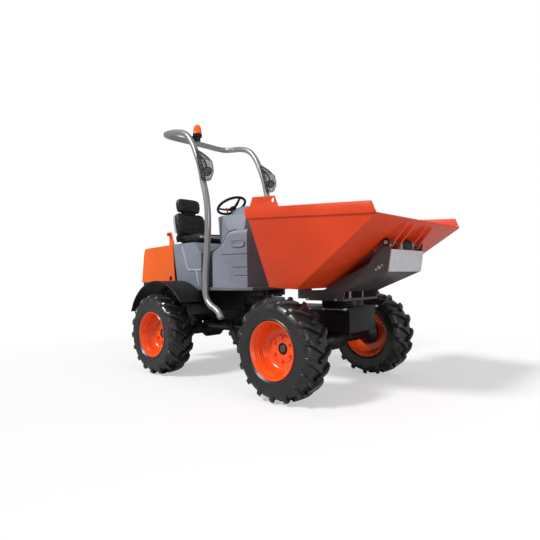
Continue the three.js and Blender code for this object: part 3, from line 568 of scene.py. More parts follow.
def moulded_grey():
    """Mid-grey moulded polyethylene with a pebbled grain and slight mottling."""
    base = tuple(bpy.context.scene.dumper_colors.moulding)
    finish = Finish("moulded_grey", base, 0.5, Specular_IOR_Level=0.4)
    mottle = finish.noise(5.0, 3.0)
    pebbles = finish.cells(520.0)
    scuffs = finish.noise(34.0, 5.0, 0.7, (1, 1, 6))
    tone = finish.mix(mottle.spread(0.3, 0.7), shade(base, 0.93), shade(base, 1.06))
    lightened_edges = finish.edges() * scuffs.spread(0.4, 0.7) * 0.4
    finish.set("Base Color", finish.mix(lightened_edges, tone, shade(base, 1.5)))
    finish.set("Roughness", mottle.spread(0.3, 0.7, 0.42, 0.54) + scuffs.spread(0.6, 0.8) * 0.08)
    finish.bump(pebbles, 0.12, 0.0004)
    return finish.material


def black_plastic():
    """Black moulded plastic with a fine matt grain."""
    base = srgb(17, 17, 19)
    finish = Finish("black_plastic", base, 0.5, Specular_IOR_Level=0.35)
    mottle = finish.noise(14.0, 3.0)
    finish.set("Base Color", finish.mix(mottle.spread(0.3, 0.7), shade(base, 0.8), shade(base, 1.25)))
    finish.set("Roughness", mottle.spread(0.3, 0.7, 0.4, 0.55))
    finish.bump(finish.cells(700.0), 0.1, 0.0003)
    return finish.material


def seat_vinyl():
    """Black vinyl with a leather grain and a worn sheen."""
    base = tuple(bpy.context.scene.dumper_colors.vinyl)
    finish = Finish("seat_vinyl", base, 0.42, Specular_IOR_Level=0.5)
    mottle = finish.noise(8.0, 3.0)
    grain = finish.cells(330.0, "DISTANCE_TO_EDGE")
    finish.set("Base Color", finish.mix(mottle.spread(0.3, 0.7), shade(base, 0.85), shade(base, 1.3)))
    finish.set("Roughness", mottle.spread(0.3, 0.7, 0.34, 0.5))
    finish.bump(grain.spread(0.0, 0.12), 0.22, 0.0005)
    finish.bump(finish.noise(26.0, 3.0), 0.12, 0.004)
    return finish.material


def bare_steel(name, color, roughness):
    """Bright or zinc-plated steel with fine turning marks and dulled patches."""
    finish = Finish(name, color, roughness, 1.0)
    patches = finish.noise(30.0, 4.0)
    marks = finish.noise(700.0, 2.0, 0.5, (1, 8, 8))
    finish.set("Base Color", finish.mix(patches.spread(0.35, 0.75), color, shade(color, 0.72)))
    finish.set("Roughness", patches.spread(0.3, 0.7, roughness - 0.06, roughness + 0.12))
    finish.bump(marks, 0.08, 0.0003)
    return finish.material


def clear_lens(name, color, roughness, transmission, glow=0.0):
    """Moulded lens plastic with a thin film of dust."""
    finish = Finish(name, color, roughness, Transmission_Weight=transmission, IOR=1.46)
    film = finish.noise(40.0, 4.0)
    finish.set("Base Color", finish.mix(film.spread(0.4, 0.8), color, shade(color, 0.82)))
    finish.set("Roughness", film.spread(0.3, 0.7, roughness, roughness + 0.12))
    if glow:
        finish.set("Emission Color", color)
        finish.set("Emission Strength", glow)
    return finish.material


FINISHES = {}


def finishes():
    """Every material, made once and kept by name."""
    colors = bpy.context.scene.dumper_colors
    if not FINISHES:
        FINISHES.update({
            "tyre_rubber": tyre_rubber(),
            "moulded_grey": moulded_grey(),
            "black_plastic": black_plastic(),
            "seat_vinyl": seat_vinyl(),
            "orange_paint": paint("orange_paint", tuple(colors.orange), 0.4, 0.04),
            "wheel_paint": paint("wheel_paint", tuple(colors.wheels), 0.24, 0.03, 0.6),
            "bonnet_paint": paint("bonnet_paint", tuple(colors.bonnet), 0.36, 0.04),
            "black_paint": paint("black_paint", srgb(15, 15, 17), 0.42, 0.03, 0.05),
            "dark_grey_paint": paint("dark_grey_paint", srgb(76, 68, 71), 0.42, 0.03, 0.1),
            "frame_grey": silver_paint("frame_grey", tuple(colors.roll_frame)),
            # painted highlight: the plinth's raised lines are the moulding's grey made paler to stand for the
            # highlights on their ridges
            "line_highlight_grey": paint("line_highlight_grey", srgb(176, 180, 196), 0.4, 0.0),
            "pale_grey_paint": paint("pale_grey_paint", srgb(205, 204, 210), 0.4, 0.02),
            "rod_steel": bare_steel("rod_steel", (0.72, 0.72, 0.74, 1.0), 0.14),
            "sill_grey": paint("sill_grey", srgb(112, 112, 116), 0.4, 0.05),
            "guard_grey": paint("guard_grey", srgb(58, 57, 60), 0.4, 0.0),
            "zinc_steel": bare_steel("zinc_steel", (0.62, 0.62, 0.6, 1.0), 0.34),
            "red_plastic": paint("red_plastic", srgb(205, 34, 28), 0.3, 0.0, 0.4),
            "amber_lens": clear_lens("amber_lens", srgb(255, 130, 20), 0.12, 0.35, 0.12),
            "clear_lens": clear_lens("clear_lens", (0.9, 0.92, 0.95, 1.0), 0.05, 0.7),
        })
    return FINISHES


# ---- sizes and colours that a user may change ----


class DumperSizes(bpy.types.PropertyGroup):
    """Sizes of the details that are added to the frame."""
    lugs_per_side: IntProperty(
        name="Lugs a side", description="Tread lugs on each half of a tyre", default=17, min=10, max=26)
    lug_height: FloatProperty(
        name="Lug height", description="How far a lug stands off the casing", default=0.026, unit="LENGTH")
    wheel_nuts: IntProperty(
        name="Wheel nuts", description="Nuts that hold a wheel on its hub", default=6, min=4, max=10)
    fold_radius: FloatProperty(
        name="Fold radius", description="Rounding on the folded plate edges", default=0.004, unit="LENGTH")
    cushion_swell: FloatProperty(
        name="Cushion swell", description="The most that a cushion may swell", default=0.016, unit="LENGTH")


class DumperColors(bpy.types.PropertyGroup):
    """Colours of the main finishes."""
    orange: FloatVectorProperty(
        name="Skip", description="Skip paint", subtype="COLOR", size=4, default=srgb(226, 66, 20))
    wheels: FloatVectorProperty(
        name="Wheels", description="Wheel paint", subtype="COLOR", size=4, default=srgb(246, 84, 8))
    bonnet: FloatVectorProperty(
        name="Bonnet", description="Bonnet paint", subtype="COLOR", size=4, default=srgb(255, 104, 14))
    moulding: FloatVectorProperty(
        name="Mouldings", description="Console and plinth", subtype="COLOR", size=4,
        default=srgb(131, 136, 149))
    roll_frame: FloatVectorProperty(
        name="Roll-over frame", description="Roll-over frame paint", subtype="COLOR", size=4,
        default=srgb(166, 166, 171))
    rubber: FloatVectorProperty(
        name="Tyres", description="Tyre rubber", subtype="COLOR", size=4, default=srgb(22, 22, 25))
    vinyl: FloatVectorProperty(
        name="Seat", description="Seat vinyl", subtype="COLOR", size=4, default=srgb(20, 20, 23))


class Builder:
    """What the building operators share."""
    bl_options = {"REGISTER", "UNDO"}

    def execute(self, context):
        """Builds this operator's pieces."""
        self.build(context.scene.dumper_sizes, finishes())
        return {"FINISHED"}


# ---- wheels ----


def tyre_casing(size):
    """The carcass without its lugs: bead, bulged sidewall with two raised rings, and rounded tread."""
    tread = TYRE_R - size.lug_height
    outside = [
        (0.200, 0.104), (0.212, 0.112), (0.222, 0.119), (0.228, 0.124), (0.234, 0.1205), (0.256, 0.1245),
        (0.280, 0.1265), (0.298, 0.1262), (0.303, 0.1278), (0.308, 0.1255), (0.324, 0.1195),
        (0.338, 0.108), (0.347, 0.090), (tread - 0.003, 0.062), (tread, 0.030), (tread, 0.0),
    ]
    inside = [(0.200, 0.086), (0.236, 0.104), (0.300, 0.110), (0.330, 0.092), (0.338, 0.05)]
    profile = outside + [(r, -y) for r, y in outside[-2::-1]] + [(r, -y) for r, y in inside] + inside[::-1]
    return turned("tyre_casing", profile, at(0, 0, WHEEL_Z), steps=72)


def tread_lug(size):
    """One lug: it starts past the tread's middle, sweeps back to the shoulder and runs down the sidewall."""
    # stations: across the tread, top radius, root radius, angle, half width at the top and at the root
    stations = [
        (-0.012, TYRE_R - 0.001, 0.350, 0.235, 0.013, 0.018),
        (0.012, TYRE_R, 0.350, 0.200, 0.0155, 0.021),
        (0.045, TYRE_R, 0.350, 0.140, 0.0155, 0.022),
        (0.078, TYRE_R - 0.002, 0.345, 0.078, 0.0165, 0.024),
        (0.104, TYRE_R - 0.010, 0.336, 0.030, 0.018, 0.026),
        (0.122, TYRE_R - 0.032, 0.322, 0.004, 0.018, 0.026),
        (0.1275, TYRE_R - 0.062, 0.304, -0.006, 0.016, 0.022),
        (0.1272, TYRE_R - 0.080, 0.292, -0.010, 0.012, 0.015),
    ]
    rings = []
    for y, top, root, angle, half_top, half_root in stations:
        inward = 0.0 if y < 0.11 else (y - 0.1) * 0.5

        def on_wheel(radius, offset, side, angle=angle):
            turn = angle + offset / radius
            return at(radius * math.sin(turn), side, WHEEL_Z + radius * math.cos(turn))

        rings.append([
            on_wheel(root, -half_root, y - inward), on_wheel(top, -half_top, y),
            on_wheel(top, half_top, y), on_wheel(root, half_root, y - inward),
        ])
    return soften(lofted("tread_lug", rings), 0.004, 2, 20)


def tyre(size):
    """A whole tyre with chevron lugs; each half is offset by half a pitch."""
    casing = tyre_casing(size)
    left = tread_lug(size)
    right = copied(left, Matrix.Scale(-1, 4, ACROSS))
    centre = at(0, 0, WHEEL_Z)
    pitch = math.tau / size.lugs_per_side
    lugs = []
    for side, lug in ((0, left), (0.5, right)):
        for step in range(size.lugs_per_side):
            turn = Matrix.Rotation(pitch * (step + side), 4, ACROSS)
            lugs.append(copied(lug, Matrix.Translation(centre) @ turn @ Matrix.Translation(-centre)))
        bpy.data.objects.remove(lug)
    return joined("tyre", [casing] + lugs)


DISC_Y = -0.0135
HUB_HOLE_R = 0.0425
NUT_CIRCLE_R = 0.083


def wheel_disc():
    """The rim, its stepped dish and its deep disc with the hub's hole, facing +Y about the origin."""
    face = [
        (HUB_HOLE_R, DISC_Y - 0.001), (HUB_HOLE_R + 0.002, DISC_Y + 0.001), (0.060, DISC_Y + 0.001),
        (0.066, DISC_Y + 0.0045), (0.100, DISC_Y + 0.0045), (0.106, DISC_Y), (0.134, DISC_Y - 0.001),
        (0.146, DISC_Y + 0.003), (0.156, DISC_Y + 0.0125), (0.1635, 0.010), (0.1675, 0.020),
        (0.1715, 0.0245), (0.1735, 0.040), (0.1775, 0.0455), (0.1790, 0.060), (0.1835, 0.0655),
        (0.1855, 0.078), (0.1905, 0.0835), (0.1925, 0.096), (0.1975, 0.102), (0.202, 0.1125),
        (0.2065, 0.1172), (0.2105, 0.1182), (0.2130, 0.1160), (0.2128, 0.1130),
    ]
    barrel = [(0.206, 0.1085), (0.199, 0.1045), (0.197, 0.084), (0.185, 0.070), (0.185, -0.070),
              (0.197, -0.084), (0.199, -0.1045), (0.206, -0.1085), (0.2128, -0.113), (0.213, -0.116),
              (0.2105, -0.1182), (0.2065, -0.1172), (0.200, -0.108), (0.190, -0.096), (0.176, -0.072),
              (0.176, -0.042), (0.160, -0.022), (HUB_HOLE_R, -0.022)]
    return turned("wheel_disc", face + barrel, Vector(), steps=64)


def hub_parts(size):
    """The dark hub in the disc's hole, its grey cap and the ring of painted nuts, about the origin."""
    hub = turned("wheel_hub", [
        (0.0, -0.0215), (0.0422, -0.0215), (0.0422, -0.0110), (0.040, -0.0085), (0.034, -0.0085),
        (0.031, -0.0150), (0.0, -0.0155)], Vector(), steps=32)
    cap = turned("hub_cap", [
        (0.0, -0.0150), (0.0285, -0.0150), (0.0285, -0.0110), (0.0260, -0.0090), (0.012, -0.0084),
        (0.0, -0.0082)], Vector(), steps=32)
    places = [Vector((math.sin(a) * NUT_CIRCLE_R, DISC_Y + 0.004, math.cos(a) * NUT_CIRCLE_R))
              for a in circle(size.wheel_nuts)]
    nuts = bolts("wheel_nuts", places, ACROSS, 0.022, 0.013)
    studs = [rod("stud", p + ACROSS * 0.012, p + ACROSS * 0.020, 0.006, 12) for p in places]
    valve = rod("valve", Vector((0.158, -0.002, 0.030)), Vector((0.148, 0.030, 0.028)), 0.0035, 10)
    return hub, cap, joined("wheel_nuts", [nuts, valve] + studs)


class DUMPER_OT_wheels(Builder, bpy.types.Operator):
    """Four tyres with chevron lugs, their dished rims, hubs and nuts."""
    bl_idname = "dumper.wheels"
    bl_label = "Wheels"

    def build(self, size, finish):
        """One of each, copied to the four wheels."""
        tyre_model = tyre(size)
        disc = wheel_disc()
        hub, cap, nuts = hub_parts(size)
        for place, centre in WHEELS.items():
            body = f"wheel_{place}"
            facing = Matrix.Translation(centre)
            if centre.y < 0:
                facing = facing @ Matrix.Rotation(math.pi, 4, "Z")
            rubber = copied(tyre_model, centre - at(0, 0, WHEEL_Z), f"{place}_tyre_tread")
            fitted(rubber, body, finish["tyre_rubber"], "tyre_rubber", f"tyre_{place}")
            rim = copied(disc, facing, f"{place}_rim")
            fitted(rim, body, finish["wheel_paint"], "orange_paint", f"wheel_rim_{place}")
            fitted(copied(hub, facing, f"{place}_hub"), body, finish["black_paint"], "black_paint")
            lid = copied(cap, facing, f"{place}_hub_cap")
            fitted(lid, body, finish["dark_grey_paint"], "dark_grey_paint")
            fitted(copied(nuts, facing, f"{place}_nuts"), body, finish["wheel_paint"], "orange_paint")
        for model in (tyre_model, disc, hub, cap, nuts):
            bpy.data.objects.remove(model)


# ---- frames and axles ----


TURNTABLE_X = (-0.1105, 0.2875)
TURNTABLE_HALF_W = 0.2605
TURNTABLE_THICK = 0.014
EDGE_HIGHLIGHT_HALF = 0.0045
EDGE_HIGHLIGHT_DEPTH = 0.004
HOSE_R = 0.0088
HOSE_LOOP_R = 0.150
HOSE_LOOP_BACK = 0.045


class DUMPER_OT_chassis(Builder, bpy.types.Operator):
    """The two chassis halves, axles, turntable and counterweight, with their bolts."""
    bl_idname = "dumper.chassis"
    bl_label = "Chassis and axles"

    def build(self, size, finish):
        """The frame's own shapes with rounded edges, and what is bolted to them."""
        edge = size.fold_radius
        plates = [
            ("front_chassis", "front_half", "black_paint", edge),
            ("rear_chassis", "rear_half", "black_paint", edge),
            ("front_axle", "front_half", "black_paint", 0.003),
            ("rear_axle", "rear_half", "black_paint", 0.003),
            ("engine_deck", "rear_half", "black_paint", 0.003),
            ("slew_ring", "front_half", "black_paint", 0.002),
            ("counterweight", "rear_half", "dark_grey_paint", 0.012),
            ("engine_block", "rear_half", "black_paint", 0.012),
        ]
        for node, body, name, width in plates:
            fitted(refined(node, f"{node}_steel", width), body, finish[name], name)
        self.plate_highlight_and_bolts(finish)
        self.turntable_hoses(finish)

    def turntable_hoses(self, finish):
        """Black hoses fixed round the slew ring between the two plates, drawn as three closed loops."""
        centre = middle("slew_ring")
        low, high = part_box("slew_ring")
        hoses = []
        for z in (low.z + 0.0095, centre.z, high.z - 0.0105):
            loop = [Vector((centre.x - HOSE_LOOP_BACK + HOSE_LOOP_R * math.cos(a),
                            HOSE_LOOP_R * 1.2 * math.sin(a), z)) for a in circle(12)]
            hoses.append(tube("hose", loop, HOSE_R, closed=True))
        fitted(joined("turntable_hoses", hoses), "front_half", finish["black_plastic"], "black_plastic")

    def plate_highlight_and_bolts(self, finish):
        """A pale band painted along the edge of the turntable's lower plate as the highlight on it, and the
        bolts in that edge.
        """
        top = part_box("front_chassis")[1].z
        edge_z = top - TURNTABLE_THICK / 2
        rear, front = TURNTABLE_X
        half = TURNTABLE_HALF_W
        # painted highlight: a thin pale ring round the plate's edge stands for the light that the edge
        # catches
        trim = plan_slab("turntable_edge_highlight", oblong(rear, front, half),
                         (edge_z - EDGE_HIGHLIGHT_HALF, edge_z + EDGE_HIGHLIGHT_HALF))
        inside = oblong(rear + EDGE_HIGHLIGHT_DEPTH, front - EDGE_HIGHLIGHT_DEPTH, half - EDGE_HIGHLIGHT_DEPTH)
        inner = plan_slab("inner", inside, (edge_z - 0.02, edge_z + 0.02))
        fitted(cut(trim, inner), "front_half", finish["frame_grey"], "grey_paint")
        heads = []
        for side in (-1, 1):
            places = [at(x, side * half, edge_z) for x in (-0.02, 0.107)]
            heads.append(bolts("side", places, ACROSS * side, 0.016, 0.007))
        places = [at(front, y, edge_z) for y in (-0.229, -0.09, 0.05, 0.229)]
        heads.append(bolts("ahead", places, AHEAD, 0.016, 0.007))
        fitted(joined("turntable_bolts", heads), "front_half", finish["zinc_steel"], "rod_steel")


# ---- skip and the frame that it tips on ----


CHEEK_Y = 0.250
TIP_X = 0.655
TIP_Z = 1.132
PIN_END_Y = 0.262
BASE_MIDDLE_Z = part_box("slew_ring")[1].z + 0.0093
FRONT_PANEL = [(0.6588, 0.9305), (0.6680, 0.9290), (0.6935, 1.0840), (0.6836, 1.0850)]


class DUMPER_OT_skip(Builder, bpy.types.Operator):
    """The skip with its folded rim, ribs and lugs."""
    bl_idname = "dumper.skip"
    bl_label = "Skip"

    def build(self, size, finish):
        """The welded tub."""
        tub = refined("skip", "skip_tub", 0.0025)
        fitted(tub, "skip_body", finish["orange_paint"], "orange_paint")


class DUMPER_OT_tipping_frame(Builder, bpy.types.Operator):
    """The boomerang side plates, the front plate and the tip cylinder's clevis."""
    bl_idname = "dumper.tipping_frame"
    bl_label = "Tipping frame"

    def build(self, size, finish):
        """Side plates in dark grey, with the front plate in pale grey."""
        plates = refined("tipping_frame", "tipping_plates", 0.002)
        fitted(plates, "swivel_frame", finish["dark_grey_paint"], "dark_grey_paint")
        half = CHEEK_Y - 0.001
        panel = soften(slab("front_panel", FRONT_PANEL, (-half, half)), 0.0015, 2)
        fitted(panel, "swivel_frame", finish["pale_grey_paint"], "pale_grey_paint")
        for side, hand in SIDES:
            self.fixings(side, hand, finish)
        self.clevis_cover(finish)
        self.pipes(finish)

    def fixings(self, side, hand, finish):
        """The tip pin's collar and bolt, and the bolts in a side plate and along the base plate's edge."""
        out = ACROSS * side
        profile = [(0.0, -0.004), (0.026, -0.004), (0.028, 0.0), (0.026, 0.004), (0.019, 0.006), (0.0, 0.006)]
        collar = turned(f"tip_pin_collar_{hand}", profile, at(TIP_X, side * PIN_END_Y, TIP_Z), out, 32)
        fitted(collar, "swivel_frame", finish["black_paint"], "black_paint")
        pin_bolt = bolts("pin_bolt", [at(TIP_X, side * (PIN_END_Y + 0.005), TIP_Z)], out, 0.021, 0.006)
        face_y = side * (CHEEK_Y + 0.0002)
        small = [at(x, face_y, z) for x, z in ((0.567, 0.946), (0.614, 0.976), (0.681, 1.112))]
        large = bolts("large", [at(0.590, face_y, 0.961)], out, 0.021, 0.008)
        edge_places = [at(x, side * (CHEEK_Y - 0.001), BASE_MIDDLE_Z) for x in (-0.046, 0.216)]
        edge = bolts("edge", edge_places, out, 0.016, 0.007)
        heads = joined(f"frame_bolts_{hand}", [pin_bolt, bolts("small", small, out, 0.012, 0.006),
                                               large, edge])
        fitted(heads, "swivel_frame", finish["zinc_steel"], "rod_steel")

    def clevis_cover(self, finish):
        """The rounded black cover over the tip pin's middle, between two pale cheeks."""
        arch = [(TIP_X + 0.031 * math.sin(a), TIP_Z + 0.031 * math.cos(a)) for a in circle(12, -0.25, 2.1)]
        outline = arch + [(0.689, 1.084), (0.650, 1.084)]
        cover = soften(slab("clevis_cover", outline, (-0.083, 0.083)), 0.003, 2)
        fitted(cover, "swivel_frame", finish["black_plastic"], "black_plastic")
        cheeks = [slab("cheek", outline, (side * 0.0835, side * 0.0875)) for side in (-1, 1)]
        fitted(joined("clevis_cheeks", cheeks), "swivel_frame", finish["pale_grey_paint"], "pale_grey_paint")

    def pipes(self, finish):
        """Thin steel pipes from the belly plate down to the base plate."""
        lines = [tube("pipe", [at(0.268, y, 0.731), at(0.268, y, 0.760), at(0.270, y, 0.792)], 0.0045)
                 for y in (-0.137, -0.120, 0.053)]
        fitted(joined("swivel_pipes", lines), "swivel_frame", finish["frame_grey"], "grey_paint")


# ---- console and steering ----

SILL_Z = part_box("operator_platform")[1].z
CONSOLE_SIDE_Y = BODY_HALF_W - 0.002
CONSOLE_FRONT = -0.668
CONSOLE_HALF_FRONT = 0.320
CONSOLE_HOLLOW = 0.030
CONSOLE_TAPER = -0.850
CONSOLE_REAR = -1.050
SHOULDER = [(-1.110, 1.148), (-1.062, 1.152), (-1.010, 1.176), (-0.950, 1.212), (-0.900, 1.255),
            (-0.862, 1.303), (-0.815, 1.328), (-0.760, 1.334), (-0.620, 1.336)]
# the lip between the sides and the seam: how far in from the side, and how far below the seam
LIP = [(-0.100, 0.040), (0.0, 0.040), (0.0035, 0.025), (0.011, 0.010), (0.024, 0.0)]
GROOVES = [(-0.913, 1.117), (-0.788, 1.000), (-0.775, 0.925)]
GROOVE_DEPTH = 0.011
GROOVE_HIGH = 0.024
GROOVE_RUN_IN = 0.012
COWL_TOP = 1.4903
ON_COWL = COWL_TOP + 0.0003


def curved(points, steps=4):
    """A smooth line through points, as a Catmull-Rom curve."""
    line = []
    ends = [points[0], *points, points[-1]]
    for before, start, end, after in zip(ends, ends[1:], ends[2:], ends[3:]):
        for i in range(steps):
            t = i / steps
            line.append(tuple(
                0.5 * (2 * b + (c - a) * t + (2 * a - 5 * b + 4 * c - d) * t ** 2
                       + (3 * b - a - 3 * c + d) * t ** 3)
                for a, b, c, d in zip(before, start, end, after)))
    return line + [points[-1]]


def half_at(x):
    """Half the lower body's width at a place along the machine."""
    share = max(0.0, (x - CONSOLE_TAPER) / (CONSOLE_FRONT - CONSOLE_TAPER))
    return CONSOLE_SIDE_Y - (CONSOLE_SIDE_Y - CONSOLE_HALF_FRONT) * share


def taper_axes(side):
    """Along and out from the side face where the lower body narrows towards the front."""
    turn = Vector((CONSOLE_FRONT - CONSOLE_TAPER, BODY_HALF_W - CONSOLE_HALF_FRONT, 0)).normalized()
    return Vector((turn.x, -turn.y * side, 0)), Vector((turn.y, turn.x * side, 0))


def shoulder_line(drop):
    """The swept shoulder in side view, moved into the body by a distance."""
    line = curved(SHOULDER)
    moved = []
    for i, (x, z) in enumerate(line):
        before = line[max(i - 1, 0)]
        after = line[min(i + 1, len(line) - 1)]
        along = Vector((after[0] - before[0], after[1] - before[1])).normalized()
        moved.append((x + along.y * drop, z - along.x * drop))
    return moved


def console_body(name, inset):
    """The lower moulding: its plan cut to the swept shoulder, which rounds down to the sides in a lip."""
    half = CONSOLE_SIDE_Y - inset
    half_front = CONSOLE_HALF_FRONT - inset * 0.8
    rear = CONSOLE_REAR - inset * 6
    plan = [
        (rear, half), (rear, -half), (CONSOLE_TAPER, -half), (CONSOLE_FRONT - inset, -half_front),
        (CONSOLE_FRONT - CONSOLE_HOLLOW - inset, 0), (CONSOLE_FRONT - inset, half_front),
        (CONSOLE_TAPER, half)]
    foot = SILL_Z + 0.0003 - inset
    rings = []
    for side, lip in ((-1, LIP), (1, LIP[::-1])):
        for inward, drop in lip:
            line = shoulder_line(drop + inset)
            ends = [(line[0][0] - 0.3 * (inset > 0), line[0][1]), *line[1:], (-0.55, line[-1][1])]
            ring = [(-1.5, foot - 0.1), *ends, (-0.55, foot - 0.1)]
            rings.append([at(x, side * (half_at(x) - inset - inward), z) for x, z in ring])
    return kept_in(plan_slab(name, plan, (foot, 1.42)), lofted("console_side", rings))


def bevelled(piece, wanted, offset, segments):
    """Rounds only the edges that pass a test."""
    with editing(piece, "EDGE"):
        pick_edges(piece, wanted)
        bpy.ops.mesh.bevel(offset=offset, segments=segments, affect="EDGES", clamp_overlap=True)
    return piece


def groove(start, height, side):
    """A cutter for one moulded groove that wraps round the front corner: sharp above, sloping out below."""
    out_side = ACROSS * side
    out_taper = taper_axes(side)[1]
    front = CONSOLE_FRONT + 0.05
    if start < CONSOLE_TAPER:
        stations = [(start - GROOVE_RUN_IN, CONSOLE_SIDE_Y, out_side, 0.0),
                    (start, CONSOLE_SIDE_Y, out_side, 1.0),
                    (CONSOLE_TAPER, CONSOLE_SIDE_Y, (out_side + out_taper).normalized(), 1.0)]
    else:
        inner = half_at(start)
        stations = [(start - GROOVE_RUN_IN, inner + 0.003, out_taper, 0.0), (start, inner, out_taper, 1.0)]
    stations.append((front, half_at(front), out_taper, 1.0))
    rings = []
    for x, y, out, depth in stations:
        surface = at(x, y * side, height)
        rings.append([
            surface + out * 0.01 + UP * 0.002,
            surface - out * GROOVE_DEPTH * depth,
            surface + out * 0.01 - UP * GROOVE_HIGH * (0.3 + 0.7 * depth)])
    return lofted("groove", rings)


def cowl_points():
    """The corners of the upper moulding: its rear corners are cut off by wide slanting faces."""
    corners = [
        (-1.118, COWL_TOP, 0.268), (-1.015, COWL_TOP, 0.303), (-0.716, COWL_TOP, 0.268),
        (-1.055, 1.262, 0.300), (-0.862, 1.312, 0.350), (-0.716, 1.312, 0.306),
        (-1.010, 1.190, 0.325), (-0.716, 1.250, 0.300)]
    return [at(x, half * side, z) for x, z, half in corners for side in (1, -1)]


class DUMPER_OT_console(Builder, bpy.types.Operator):
    """The moulded console: a lower body with a swept, rounded shoulder and grooves, and a cowl above it."""
    bl_idname = "dumper.console"
    bl_label = "Console"

    def build(self, size, finish):
        """Lower body, cowl, its trim and its fixing bolts."""
        lower = console_body("console_lower", 0.0)
        smooth(lower, 30)
        cut(lower, console_body("console_hollow", 0.024))
        cut(lower, *[groove(x, z, side) for x, z in GROOVES for side in (1, -1)])
        smooth(lower, 24)
        fitted(lower, "rear_half", finish["moulded_grey"], "grey_paint", "console")
        cowl = soften(hulled("console_cowl", cowl_points()), 0.020, 5, 8)
        fitted(cowl, "rear_half", finish["moulded_grey"], "grey_paint")
        # painted shade: black strips along the seam stand for the dark gap between the two mouldings
        fitted(self.seam_shade(), "rear_half", finish["black_plastic"], "black_plastic")
        fitted(self.blank_pads(), "rear_half", finish["moulded_grey"], "grey_paint")
        bolt_places = [at(x, -CONSOLE_SIDE_Y, 0.85) for x in (-1.02, -0.87)]
        right = bolts("console_bolts_right", bolt_places, -ACROSS, 0.012, 0.005)
        left = mirrored(right, "console_bolts_left")
        for heads in (right, left):
            fitted(heads, "rear_half", finish["zinc_steel"], "rod_steel")

    def seam_shade(self):
        """A black strip in the seam between the lower body and the cowl, one a side, as painted shade for the
        dark gap there.
        """
        line = [p for p in shoulder_line(-0.002)[::3] if p[0] < CONSOLE_FRONT - 0.03]
        strips = [tube("seam_shade_strip", [at(x, side * (half_at(x) - 0.027), z) for x, z in line], 0.006, steps=4)
                  for side in (-1, 1)]
        return joined("console_seam_shade", strips)

    def blank_pads(self):
        """A blank oval pad, a little proud of each tapered side of the lower body."""
        pads = []
        for side in (-1, 1):
            along, out = taper_axes(side)
            centre = at(-0.745, side * 0.3615, 1.212)
            rings = []
            for inset, lift in ((0.0, -0.004), (0.0, 0.0015), (0.003, 0.003), (0.005, 0.0018)):
                rings.append([centre + out * lift + along * u + UP * v
                              for u, v in superellipse(32, 0.066 - inset, 0.034 - inset, 2.6)])
            pads.append(smooth(lofted("blank_pad", rings), 40))
        return joined("console_pads", pads)


WHEEL_HUB = at(-1.217, 0, 1.639)
WHEEL_RADIUS = 0.159
RIM_RADIUS = 0.0135
RAKE = math.radians(27.6)
COLUMN = Vector((-math.sin(RAKE), 0, math.cos(RAKE)))


class DUMPER_OT_steering(Builder, bpy.types.Operator):
    """Steering wheel, column with its rubber boot, and the pod that it rises from."""
    bl_idname = "dumper.steering"
    bl_label = "Steering wheel and column"

    def build(self, size, finish):
        """A thin round rim on three flat spokes, with a dished hub and cap."""
        bpy.ops.object.select_all(action="DESELECT")
        bpy.ops.mesh.primitive_torus_add(
            location=WHEEL_HUB, rotation=COLUMN.to_track_quat("Z", "Y").to_euler(),
            major_radius=WHEEL_RADIUS - RIM_RADIUS, minor_radius=RIM_RADIUS,
            major_segments=72, minor_segments=16)
        rim = smooth(settled(newest("wheel_rim")))
        ahead = ACROSS.cross(COLUMN)
        # stations down a spoke: radius, drop below the rim, half width, half thickness
        stations = [
            (0.020, 0.040, 0.022, 0.005), (0.055, 0.036, 0.019, 0.005), (0.100, 0.020, 0.0155, 0.0045),
            (0.135, 0.004, 0.014, 0.0045), (0.147, 0.000, 0.016, 0.005)]
        spokes = []
        for angle in circle(3):
            out = ACROSS * math.sin(angle) + ahead * math.cos(angle)
            along = COLUMN.cross(out)
            rings = []
            for radius, drop, half, thick in stations:
                centre = WHEEL_HUB + out * radius - COLUMN * drop
                rings.append([centre + along * half * a + COLUMN * thick * b
                              for a, b in ((1, 0.4), (0.6, 1), (-0.6, 1), (-1, 0.4), (-1, -0.4), (-0.6, -1),
                                           (0.6, -1), (1, -0.4))])
            spokes.append(smooth(lofted("spoke", rings), 50))
        profile = [(0.0, -0.052), (0.030, -0.052), (0.036, -0.046), (0.038, -0.036), (0.036, -0.028),
                   (0.030, -0.024), (0.026, -0.0225), (0.024, -0.018), (0.0, -0.016)]
        hub = turned("hub", profile, WHEEL_HUB, COLUMN, 40)
        wheel = joined("hand_wheel", [rim, hub] + spokes)
        fitted(wheel, "hand_wheel", finish["black_plastic"], "black_plastic", "steering_wheel")
        folds = [(0.0, -0.150)]
        for i in range(6):
            base = -0.150 + i * 0.011
            folds += [(0.040 - i * 0.002, base), (0.034 - i * 0.002, base + 0.0055)]
        column = turned("column", folds + [(0.026, -0.084), (0.026, -0.0523), (0.0, -0.0523)],
                        WHEEL_HUB, COLUMN, 32)
        fitted(column, "rear_half", finish["black_plastic"], "black_plastic", "steering_column")
        corners = [
            (-1.075, ON_COWL, 0.085), (-0.960, ON_COWL, 0.235), (-0.760, ON_COWL, 0.225),
            (-1.165, 1.545, 0.050), (-1.130, 1.575, 0.058), (-1.030, 1.598, 0.068),
            (-0.880, 1.590, 0.095), (-0.900, 1.560, 0.190), (-0.800, 1.560, 0.180)]
        pod = hulled("column_pod", [at(x, half * side, z) for x, z, half in corners for side in (1, -1)])
        soften(pod, 0.022, 5, 10)
        fitted(pod, "rear_half", finish["moulded_grey"], "grey_paint")


